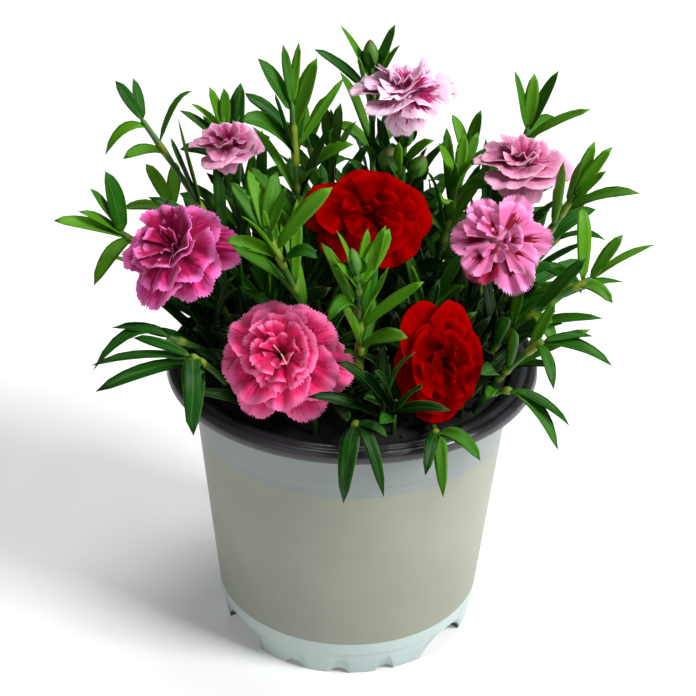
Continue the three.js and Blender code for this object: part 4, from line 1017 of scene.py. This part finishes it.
rooted = [vec(piece["root"]) for table in (BLOOMS, SHOOTS, SHORT_SHOOTS) for piece in table.values()]
tufts = []
for number in range(SPIRAL_TUFTS + len(WALL_TUFTS)):
    root = tuft_root(number)
    if min(float(np.linalg.norm(root - other)) for other in rooted) < TUFT_SPACE:
        continue
    curve = stem_curve(root, [*root, SOIL_HEIGHT + 8], [*(root * 1.04), SOIL_HEIGHT + 15])
    owner = f"tuft_{number}"
    room = Room(owner, SPARE_ROOM)
    leaves = []
    for k in range(TUFT_LEAVES):
        share = 0.25 + 0.08 * k
        length = 30 - 1.2 * k + 4 * scatter(30 * number + k)
        base = on_curve(curve, share)
        tip = base + reach_out(length, SPIRAL * k + 40 * number, 22 + 6.5 * k)
        line = settled(room, base, dict(tip=tip, width=TUFT_WIDTH, arch=TUFT_ARCH))
        if line is not None:
            occupy(owner, leaf_points(line, TUFT_WIDTH), BLADE_ROOM)
            leaves.append((share, line, TUFT_WIDTH))
    tufts.append(dict(curve=curve, leaves=leaves))
print(len(tufts), "tufts with", sum(len(tuft["leaves"]) for tuft in tufts), "leaves")

# %% [markdown]
# ## Leaf and stem finishes
# The leaves are a waxy mid green, and a painted shade makes those low in the middle of the clump much darker.
# A pale line marks the midrib, fine veins run beside it, and a grey bloom of wax lies in patches on the upper
# side. The stem is the same green and turns yellow where a pair of leaves joins it.


# %% Leaf, stem and bud finishes
def leaf_finish():
    material, tree, shader = blank_finish("leaf_green", 0.46)
    across, along = blade_map(tree)
    tint = point_value(tree, "tint")
    clouds = grain(tree, 90.0, 3.0)
    tone = mixed(tree, clouds, colour(5, 56, 0), colour(24, 94, 1))
    # Low tints take darker greens. Part of that is leaf-to-leaf tone; painted shade deep in the clump and on the
    # tufts lowers the tint most, down to near black.
    tone = mixed(tree, smooth(tree, tint, -0.1, 0.4, 0.85, 0.0), tone, colour(1, 34, 0))
    tone = mixed(tree, smooth(tree, tint, -0.8, -0.1, 0.85, 0.0), tone, colour(0, 14, 0))
    tone = mixed(tree, smooth(tree, tint, 0.35, 1.0, 0.0, 0.75), tone, colour(86, 146, 12))
    wax = blade_grain(tree, across, along, tint, 3.0, 2.0)
    tone = mixed(tree, smooth(tree, wax, 0.5, 0.75, 0.0, 0.25), tone, colour(88, 128, 62))
    aside = off_middle(tree, across)
    midrib = smooth(tree, aside, 0.012, 0.05, 0.2, 0.0)
    tone = mixed(tree, midrib, tone, colour(98, 146, 56))
    rim = smooth(tree, aside, 0.44, 0.5, 0.0, 0.4)
    tone = mixed(tree, rim, tone, colour(126, 172, 62))
    foot = smooth(tree, along, 0.0, 0.16, 0.55, 0.0)
    tone = mixed(tree, foot, tone, colour(112, 150, 26))
    tree.links.new(tone, shader.inputs["Base Color"])
    veins = blade_grain(tree, across, along, tint, 34.0, 1.2)
    bump(tree, shader, veins, 0.35, 0.25)
    shader.inputs["Specular IOR Level"].default_value = 0.15
    return material


def stem_finish():
    material, tree, shader = blank_finish("stem_green", 0.5)
    around, along = blade_map(tree)
    joint = point_value(tree, "joint")
    ribs = blade_grain(tree, around, along, joint, 14.0, 3.0)
    tone = mixed(tree, ribs, colour(22, 76, 8), colour(62, 116, 20))
    tone = mixed(tree, smooth(tree, joint, 0.25, 0.95, 0.0, 0.7), tone, colour(132, 146, 24))
    tone = mixed(tree, smooth(tree, along, 0.12, 0.5, 0.8, 0.0), tone, colour(6, 34, 4))
    tree.links.new(tone, shader.inputs["Base Color"])
    bump(tree, shader, ribs, 0.3, 0.3)
    return material


def bud_finish():
    material, tree, shader = blank_finish("bud_green", 0.5)
    around, along = blade_map(tree)
    ribs = blade_grain(tree, around, along, along, 40.0, 2.0)
    tone = mixed(tree, ribs, colour(30, 84, 6), colour(84, 138, 22))
    tone = mixed(tree, smooth(tree, along, 0.7, 0.98, 0.0, 0.8), tone, colour(88, 44, 34))
    tree.links.new(tone, shader.inputs["Base Color"])
    bump(tree, shader, ribs, 0.4, 0.3)
    return material


leaf_green = leaf_finish()
stem_green = stem_finish()
bud_green = bud_finish()
print("finishes for leaf, stem and bud")

# %% [markdown]
# ## Leaves, stems, buds and calyxes
# A leaf is a long thin lens folded up along its middle. It is a strap: narrow where it clasps the stem, widest
# past its middle, with a short point. A stem is a tube that swells where the leaves join it. A calyx is a narrow
# cup with five teeth, and a bud is the same cup still shut.


# %% Leaf blade
def around_blade(u):
    """Where a point of a flat skin is: across from -1 to 1, and +1 on the upper face or -1 on the lower."""
    upper = u <= 0.5
    return np.where(upper, -1 + 4 * u, 3 - 4 * u), np.where(upper, 1, -1)


def blade_spread(u, v):
    s, _ = around_blade(u)
    return 0.5 + 0.5 * s, v


def ends_shut(v):
    """1 along a skin and 0 at its two ends, where it closes on a point."""
    return ((v > 1e-6) & (v < 1 - 1e-6)).astype(float)


LEAF_FOOT, LEAF_SWELL, SWELL_END = 0.38, 0.52, 0.58  # width at the foot, what it gains, and where it stops to
DARK_TOP, DARK_FADE = 148, 34  # painted shade darkens the clump under the first height, fully so this far below it
DARK_REACH, SIDE_FADE = 62, 14
BLADE_THICK, RIB_DEPTH, GROOVE_DEPTH = 0.24, 0.3, 0.12
BROAD_LEAF = 5.5  # wider leaves than this have a row of faces more


def leaf_outline(t):
    """How wide a leaf is along its length, as a share of its width."""
    swell = np.sin(0.5 * math.pi * np.minimum(1, t / SWELL_END))
    return (LEAF_FOOT + LEAF_SWELL * swell) * (1 - t ** 5) ** 0.72


def shade_in_clump(point):
    """Painted shade: 1 low in the middle of the clump, where the shade is deepest, and 0 at its outside."""
    low = np.clip((DARK_TOP - point[2]) / DARK_FADE, 0, 1)
    return float(low * np.clip((DARK_REACH - math.hypot(point[0], point[1])) / SIDE_FADE, 0, 1))


def leaf(bm, curve, width, seed, fresh=0.0):
    """A folded blade along a curve, with a slight twist and a rib under its middle."""
    side = leaf_side(curve)
    twist = 0.7 * scatter(seed)
    length = float(np.linalg.norm(curve[2] - curve[0]))
    outermost = float((np.abs(curve[2][:2]) / FURTHEST).max())
    curl = (0.09 * scatter(seed + 5) - 0.02) * length * min(1.0, max(0.0, 12 * (1 - outermost)))
    # the tint is lowered by a painted shade low in the middle of the clump
    tint = 0.42 + 0.42 * scatter(seed + 7) + fresh - 0.9 * shade_in_clump(on_curve(curve, 0.6))
    ripple = 0.06 * width * scatter(seed + 3)

    def place(u, v):
        s, face = around_blade(u)
        forward = along_curve(curve, v)
        top = unit(np.cross(forward, side))
        angle = (twist * v)[:, None]
        lateral = side * np.cos(angle) + top * np.sin(angle)
        normal = top * np.cos(angle) - side * np.sin(angle)
        half = 0.5 * width * leaf_outline(v)
        rise = 0.3 * half * np.abs(s) ** 1.5 + ripple * np.sin(9 * v + 2 * s) + curl * v ** 4
        thick = BLADE_THICK * (1 - s * s) * (1 - 0.6 * v)
        rib_below = RIB_DEPTH * np.exp(-((s / 0.2) ** 2)) * (1 - v)
        rib = np.where(face < 0, rib_below, -GROOVE_DEPTH * np.exp(-((s / 0.12) ** 2)))
        offset = lateral * (s * half)[:, None] + normal * (rise + face * (thick + rib))[:, None]
        tip = np.multiply.outer(curl * (v > 1 - 1e-6), np.cross(along_curve(curve, 1.0), side))
        return on_curve(curve, v) + offset * ends_shut(v)[:, None] + tip

    skin(bm, 8, 8 if width > BROAD_LEAF else 7, place, blade_spread, tint=tint)


shares = np.arange(101) / 100
print("a leaf is widest at", float(shares[leaf_outline(shares).argmax()]), "of its length")

# %% Stem tube
ROOT_SHARE, ROOT_DEPTH = 0.1, 14  # share of a tube that stands in its hole, and how deep
JOINT_LENGTH, JOINT_SWELL = 1.7, 0.38
TOP_JOINT = 0.94  # leaves above this share of a stem sit on its end, without a joint
STEM_SIDES, STEM_RINGS = 10, 44


def stem(bm, curve, shares, radius=1.25):
    """A tube along a curve that starts down in its hole and swells at each joint."""
    length = float(np.linalg.norm(curve[2] - curve[0]))
    joints = sorted(set(round(share, 2) for share in shares if share < TOP_JOINT))

    def above_soil(v):
        return np.maximum(0.0, (v - ROOT_SHARE) / (1 - ROOT_SHARE))

    def swelling(t):
        bumps = [np.exp(-(((t - joint) * length / JOINT_LENGTH) ** 2)) for joint in joints]
        return np.minimum(1.0, sum(bumps, np.zeros_like(t)))

    def place(u, v):
        t = above_soil(v)
        sunk = ROOT_DEPTH * np.maximum(0.0, ROOT_SHARE - v) / ROOT_SHARE
        point = on_curve(curve, t) - np.multiply.outer(sunk, vec([0, 0, 1]))
        direction = np.where((v > ROOT_SHARE)[:, None], along_curve(curve, t), vec([0, 0, 1]))
        reach = radius * (1 - 0.2 * t) * (1 + JOINT_SWELL * swelling(t)) * ends_shut(v)
        return tube(point, direction, reach, u)

    skin(bm, STEM_SIDES, STEM_RINGS, place, look=1, joint=lambda v: swelling(above_soil(v)))


print("a stem's tube has", STEM_RINGS, "rings of", STEM_SIDES, "faces")


# %% Bud and calyx
def turned(bm, outline, base, axis, around, look, teeth=None):
    """A round skin along an axis: outline gives radius and height, and teeth(angle) lifts its highest ring."""
    across, outwards = ring_axes(axis)

    def place(u, v):
        radius, height = np.array(outline, float)[np.round(v * (len(outline) - 1)).astype(int)].T
        angle = 2 * math.pi * u
        if teeth:
            height = height + teeth(angle, v)
        spoke = np.multiply.outer(np.cos(angle), across) + np.multiply.outer(np.sin(angle), outwards)
        return base + spoke * radius[:, None] + np.multiply.outer(height, axis)

    skin(bm, around, len(outline) - 1, place, look=look)


BUD_OUTLINE = [(0, -0.5), (0.5, 0), (0.82, 0.12), (0.98, 0.26), (1.0, 0.38), (0.93, 0.52), (0.78, 0.66),
               (0.57, 0.79), (0.32, 0.91), (0, 1.0)]  # shares of its radius and length, and its foot in mm
BUD_STALK = 0.95
BUD_SEED, BRACT_SEED = 40, 50


def bud(bm, curve, row):
    """A shut calyx on a short stalk, with four scales against it."""
    share, x, y, z, length, radius = row
    start, tip = on_curve(curve, share), vec([x, y, z])
    axis = unit(tip - start)
    base = tip - axis * length
    line = (start, 0.5 * (start + base), base + axis)
    stem(bm, line, [], BUD_STALK)
    outline = [(radius * wide, length * high if high > 0 else high) for wide, high in BUD_OUTLINE]

    def folds(angle, v):
        return 0.05 * length * np.abs(np.sin(2.5 * angle)) * v * (1 - v) * 4

    turned(bm, outline, base, axis, 20, 2, folds)
    for k in range(4):
        spoke = spoke_at(axis, math.pi * k / 2)
        foot = base + spoke * radius * 0.3
        belly = base + spoke * radius * 1.5 + axis * length * 0.16
        scale_tip = base + spoke * radius * 1.02 + axis * length * (0.6 + 0.1 * (k % 2))
        leaf(bm, (foot, belly, scale_tip), radius * 1.9, BUD_SEED + k, 0.1)


# Radius and height of the cup from its foot up the outside, over the mouth and down the inside.
CALYX_OUTLINE = [
    (0, -15.2), (1.6, -15), (2.5, -14), (3.0, -11.5), (3.5, -8), (3.8, -4), (4.05, -1), (4.3, 0.6),
    (4.05, 0.6), (3.7, -1), (3.4, -4), (3.0, -8), (1.5, -10), (0, -10.2),
]
TOOTH_LENGTH, BRACT_WIDTH = 3.2, 3.6


def calyx(bm, place):
    """A ribbed cup with five teeth round the claws, and four small bracts at its foot."""
    mouth, axis = place["mouth"], place["axis"]

    def teeth(angle, v):
        return TOOTH_LENGTH * np.abs(np.cos(2.5 * angle)) ** 1.5 * np.maximum(0.0, 1 - np.abs(v - 0.56) * 9)

    turned(bm, CALYX_OUTLINE, mouth, axis, 40, 2, teeth)
    for k in range(4):
        spoke = spoke_at(axis, math.pi * (k + 0.25) / 2)
        foot = mouth - axis * 14.6 + spoke * 1.2
        line = (foot, mouth - axis * 12 + spoke * 4.6, mouth - axis * 6.5 + spoke * 4.2)
        leaf(bm, line, BRACT_WIDTH, BRACT_SEED + k)


print("a bud's profile has", len(BUD_OUTLINE), "corners and a calyx's", len(CALYX_OUTLINE))

# %% Grow the shoots
GREENS = [leaf_green, stem_green, bud_green]
FRESH_SHOOTS = ("right", "right_high", "front", "mid_left", "left", "mid_right")
FLOWER_SEED, TUFT_SEED = 900, 2000
# The tufts' leaves take a painted shade, as they stand low in the clump.
TUFT_STEM, TUFT_PAINTED_SHADE = 0.9, -0.4


def freshness(name, share):
    """Leaves near a stem's top are paler, those of the brightest shoots most, and those over the rim least."""
    return 0.5 * share - 0.28 + (0.24 if name in FRESH_SHOOTS else -0.25 if name in RIM_SHOOTS else 0)


for number, shoot in enumerate(shoots):
    name = shoot["name"]
    bm = new_piece()
    stem(bm, shoot["curve"], [share for share, _, _ in shoot["leaves"]])
    for k, (share, line, width) in enumerate(shoot["leaves"]):
        leaf(bm, line, width, 20 * number + k, freshness(name, share))
    for row in shoot["buds"]:
        bud(bm, shoot["curve"], row)
    finished(bm, f"{name}_leaves", GREENS, [f"shoot_{name}"])

# %% Grow the tufts
bm = new_piece()
for number, tuft in enumerate(tufts):
    stem(bm, tuft["curve"], [], TUFT_STEM)
    for k, (_, line, width) in enumerate(tuft["leaves"]):
        leaf(bm, line, width, TUFT_SEED + 20 * number + k, TUFT_PAINTED_SHADE)
finished(bm, "soil_tufts", GREENS, [])

# %% Grow the flower stems
for number, bloom in enumerate(blooms):
    name = bloom["name"]
    bm = new_piece()
    stem(bm, bloom["curve"], [share for share, _, _ in bloom["leaves"]])
    for k, (share, line, width) in enumerate(bloom["leaves"]):
        leaf(bm, line, width, FLOWER_SEED + 20 * number + k, 0.5 * share - 0.28)
    calyx(bm, bloom["place"])
    finished(bm, f"{name}_stalk", GREENS, [f"stem_{name}"])


# %% [markdown]
# ## Petal finishes
# Each bloom has its own colours, laid on in the same order: the blade's colour, its pale margin, streaks that
# run up from the claw, the throat, and a thin painted highlight along the cut edge. The pale margin is partly the
# petal's own and partly painted highlight. The streaks are noise that is drawn out along the petal, so no two
# petals are the same.


# %% Petal finish helper
def petal_finish(name, blade, deep, margin_and_highlight, streak, throat, reach, amount, throat_end=0.25, sheen=0.12, gloss=0.12,
                 width=0.6):
    """The streaks are thickest where the first reach starts and break up until it ends; amount is how much of
    the petal they cover there, and width how far from the middle line they lie. Petals deeper in the bloom take
    more of the deep colour."""
    material, tree, shader = blank_finish(name, 0.7)
    across, along = blade_map(tree)
    tint, depth = point_value(tree, "tint"), point_value(tree, "depth")
    clouds = blade_grain(tree, across, along, tint, 5.0, 3.0, 4.0)
    lean = sum_of(tree, "ADD", clouds, sum_of(tree, "MULTIPLY", depth, 0.4))
    tone = mixed(tree, smooth(tree, lean, 0.35, 0.85), blade, deep)
    ragged = sum_of(tree, "ADD", along, sum_of(tree, "MULTIPLY", sum_of(tree, "SUBTRACT", clouds, 0.5), 0.24))
    # A pale margin: partly the petal's own paler edge, and partly painted highlight where the edge catches the
    # light.
    tone = mixed(tree, smooth(tree, ragged, 0.82, 1.0, 0.0, 0.85), tone, margin_and_highlight)
    veins = blade_grain(tree, across, along, tint, 22.0, 3.6, 5.0)
    fade = smooth(tree, along, reach[0], reach[1], 0.5 * amount, -0.2)
    started = smooth(tree, along, reach[0] - 0.2, reach[0], 0.0, 1.0)
    drawn = smooth(tree, sum_of(tree, "ADD", veins, fade), 0.5, 0.57)
    middle = smooth(tree, off_middle(tree, across), 0.4 * width, width, 1.0, 0.0)
    place = sum_of(tree, "MULTIPLY", started, middle)
    tone = mixed(tree, sum_of(tree, "MULTIPLY", drawn, place), tone, streak)
    tone = mixed(tree, smooth(tree, along, throat_end - 0.15, throat_end + 0.05, 0.9, 0.0), tone, throat)
    # A thin pale line at the very end of the petal is painted highlight along the cut edge.
    rim = smooth(tree, along, 0.965, 1.0, 0.0, 0.6)
    tone = mixed(tree, rim, tone, margin_and_highlight)
    tree.links.new(tone, shader.inputs["Base Color"])
    fine = blade_grain(tree, across, along, tint, 60.0, 5.0, 2.0)
    bump(tree, shader, fine, 0.3, 0.2)
    shader.inputs["Sheen Weight"].default_value = sheen
    shader.inputs["Sheen Roughness"].default_value = 0.5
    shader.inputs["Specular IOR Level"].default_value = gloss
    return material


# %% Eight petal finishes
PETALS = {
    "rose": petal_finish("rose_petal", colour(236, 54, 124), colour(214, 24, 92), colour(248, 122, 176),
                         colour(184, 12, 76), colour(150, 2, 50), (0.4, 1.08), 0.5),
    "magenta": petal_finish("magenta_petal", colour(226, 50, 138), colour(152, 2, 62), colour(244, 124, 200),
                            colour(156, 4, 72), colour(130, 0, 46), (0.45, 1.12), 0.6, 0.42),
    "blush": petal_finish("blush_petal", colour(252, 156, 204), colour(238, 122, 180), colour(254, 200, 228),
                          colour(176, 40, 98), colour(160, 30, 76), (0.3, 0.95), 0.36),
    "cream": petal_finish("cream_petal", colour(244, 202, 228), colour(238, 182, 216), colour(242, 210, 230),
                          colour(168, 14, 96), colour(208, 120, 166), (0.4, 1.12), 0.46, 0.34),
    "lilac": petal_finish("lilac_petal", colour(218, 140, 176), colour(198, 104, 146), colour(236, 178, 204),
                          colour(160, 26, 86), colour(160, 46, 92), (0.35, 1.0), 0.4),
    "pink": petal_finish("pink_petal", colour(226, 118, 174), colour(212, 102, 156), colour(240, 156, 204),
                         colour(126, 0, 32), colour(232, 196, 204), (0.42, 0.98), 0.8, 0.34, width=0.34),
    "scarlet": petal_finish("scarlet_petal", colour(140, 0, 0), colour(96, 0, 0), colour(150, 2, 1),
                            colour(92, 0, 0), colour(58, 0, 0), (0.2, 0.7), 0.2, 0.25, 0.0, 0.0),
    "crimson": petal_finish("crimson_petal", colour(134, 0, 0), colour(88, 0, 0), colour(144, 2, 2),
                            colour(82, 0, 0), colour(54, 0, 0), (0.2, 0.7), 0.2, 0.25, 0.0, 0.0),
}
dark_petal = petal_finish("dark_petal", colour(176, 8, 56), colour(130, 0, 34), colour(214, 70, 120),
                          colour(110, 0, 26), colour(110, 0, 26), (0.3, 0.9), 0.5)
print(len(PETALS), "petal finishes")

# %% [markdown]
# ## Blooms
# The fine petals follow the same formula as the solids, with two scales of frill towards the edge and teeth of
# uneven depth cut by pulling every other corner of the last rows back. Small petals stand in the middle of each
# bloom. Two pale styles curl out of the double one.


# %% Fine petal
PETAL_COLUMNS = 42
PETAL_ROWS = 13
PETAL_THICK = 0.16  # half of it
LAST_BUT_ONE = 0.985  # where the last row and column before the edge lie
PROBE = 0.02  # step for measuring how a petal slopes


def crowded(share, cells):
    """Evenly spaced shares from 0 to 1, with the last but one drawn close to the end: a petal's two faces meet
    only on the thin rim that is left."""
    index = np.round(share * cells)
    return np.where(index >= cells, 1.0, LAST_BUT_ONE * index / (cells - 1))


def petal_place(u, v):
    """Where a corner of a petal's skin is: across, along and on which face."""
    s, face = around_blade(u)
    return np.sign(s) * crowded(np.abs(s), PETAL_COLUMNS // 2), crowded(v, PETAL_ROWS), face


def petal_spread(u, v):
    s, t, _ = petal_place(u, v)
    return 0.5 + 0.5 * s, t


def fine_petal(bm, place, petal, look=0):
    """A thin lens with a cut and frilled edge, on the petal's own formula."""
    layer, seed, radius = petal["layer"], petal["seed"], petal["radius"]
    phase = 3 * scatter(seed + 31)
    curl = 0.05 * radius * scatter(seed + 57)
    frill = 0.016 * radius

    def surface(s, t):
        lift = frill * np.sin(8 * s + phase + 2 * t) * t ** 3 + curl * t ** 5
        lift = lift + 0.35 * frill * np.sin(19 * s - phase) * t ** 6
        return petal_point(place, petal, s, t) + np.multiply.outer(lift, place["axis"])

    def spot(u, v):
        column = np.round((around_blade(u)[0] + 1) * PETAL_COLUMNS / 2)
        s, v, face = petal_place(u, v)
        tooth = (column % 2 == 0) & (np.abs(s) < 1)
        depth = np.where(tooth, layer["teeth"] * (0.3 + 0.9 * np.abs(scatter(seed * 40 + column))), 0)
        t = 0.02 + 0.98 * (v - depth * v ** 9)
        wide = surface(s + PROBE, t) - surface(s - PROBE, t)
        long = surface(s, t + PROBE) - surface(s, t - PROBE)
        thick = face * PETAL_THICK * (1 - s ** 4) * (v < 1 - 1e-6) * (np.abs(s) < 1 - 1e-6)
        return surface(s, t) + unit(np.cross(long, wide)) * thick[:, None]

    tint = 0.5 + 0.5 * scatter(seed + 11)
    skin(bm, 2 * PETAL_COLUMNS, PETAL_ROWS, spot, petal_spread, look=look, tint=tint, depth=petal["level"] / 3)


print("a petal has", PETAL_COLUMNS, "columns and", PETAL_ROWS, "rows on each face")

# %% Styles and receptacle
RECEPTACLE_OUTLINE = [(0, -9.6), (2.3, -6.9), (2.8, -2), (2.9, 2.6), (2.2, 3.8), (0, 4.4)]
STYLE_RADIUS = 0.32
STYLES = ((5.2, 0.5), (2.4, 0.44))  # the way each leans, in radians, and its length against the bloom's radius


def style(bm, place, turn, length):
    """A pale thread that rises from the middle and curls over at its end."""
    axis, start = place["axis"], place["mouth"] + place["axis"] * 2
    spoke = place["across"] * math.cos(turn) + place["upwards"] * math.sin(turn)
    line = (start, start + axis * length * 1.3, start + axis * length * 0.95 + spoke * length * 0.55)

    def spot(u, v):
        return tube(on_curve(line, v), along_curve(line, v), STYLE_RADIUS * (1 - 0.5 * v) * ends_shut(v), u)

    skin(bm, 6, 10, spot, look=1)


def receptacle(bm, place):
    """The base that every claw grows from, inside the calyx."""
    turned(bm, RECEPTACLE_OUTLINE, place["mouth"], place["axis"], 16, 2)


print(len(STYLES), "styles")

# %% Style finish
thread_finish, tree, shader = blank_finish("style_thread", 0.5)
thread = mixed(tree, grain(tree, 500.0), colour(246, 214, 190), colour(236, 170, 180))
tree.links.new(thread, shader.inputs["Base Color"])
print("style finish")

# %% Open the blooms
CORE = {
    "double": [dict(count=5, reach=0.42, tip=0.5, bend=0.56, half=0.36, teeth=0.04, cup=0.12),
               dict(count=4, reach=0.22, tip=0.5, bend=0.5, half=0.26, teeth=0.04, cup=0.16)],
    "bowl": [dict(count=3, reach=0.36, tip=0.42, bend=0.34, half=0.36, teeth=0.02, cup=0.2),
             dict(count=3, reach=0.18, tip=0.36, bend=0.4, half=0.22, teeth=0.02, cup=0.2)],
    "open": [dict(count=3, reach=0.22, tip=0.36, bend=0.42, half=0.2, teeth=0.05, cup=0.12)],
    "cup": [dict(count=4, reach=0.3, tip=0.6, bend=0.56, half=0.3, teeth=0.03, cup=0.1)],
    "broad": [dict(count=3, reach=0.24, tip=0.4, bend=0.46, half=0.34, teeth=0.01, cup=0.16)],
}
CORE_SEED, CORE_STRAY_TURN, CORE_LEVEL = 700, 20, 3


def core_petals(bloom, number):
    """The small petals in the middle of a bloom, which the solids don't have."""
    petals = []
    for level, core in enumerate(CORE[bloom["form"]]):
        layer = dict(wave=0.07, rounding=0.34, base=2.8 + 0.5 * level, shingle=0.05, **core)
        for k in range(layer["count"]):
            seed = CORE_SEED + 20 * number + 10 * level + k
            turn = math.radians(360 * (k + 0.5 * level) / layer["count"] + CORE_STRAY_TURN * scatter(seed))
            shape = grown_shape(layer, seed)
            petals.append(dict(radius=bloom["radius"], layer=shape, turn=turn, seed=seed, level=CORE_LEVEL))
    return petals


for number, entry in enumerate(blooms):
    name, place, bloom = entry["name"], entry["place"], entry["bloom"]
    bm = new_piece()
    receptacle(bm, place)
    for k, petal in enumerate(entry["petals"]):
        fine_petal(bm, place, petal, 3 if k == bloom.get("dark") else 0)
    for petal in core_petals(bloom, number):
        fine_petal(bm, place, petal)
    if bloom["form"] == "double":
        for turn, length in STYLES:
            style(bm, place, turn, length * bloom["radius"])
    looks = [PETALS[name], thread_finish, PETALS[name], dark_petal]
    finished(bm, f"{name}_petals", looks, [f"bloom_{name}"])
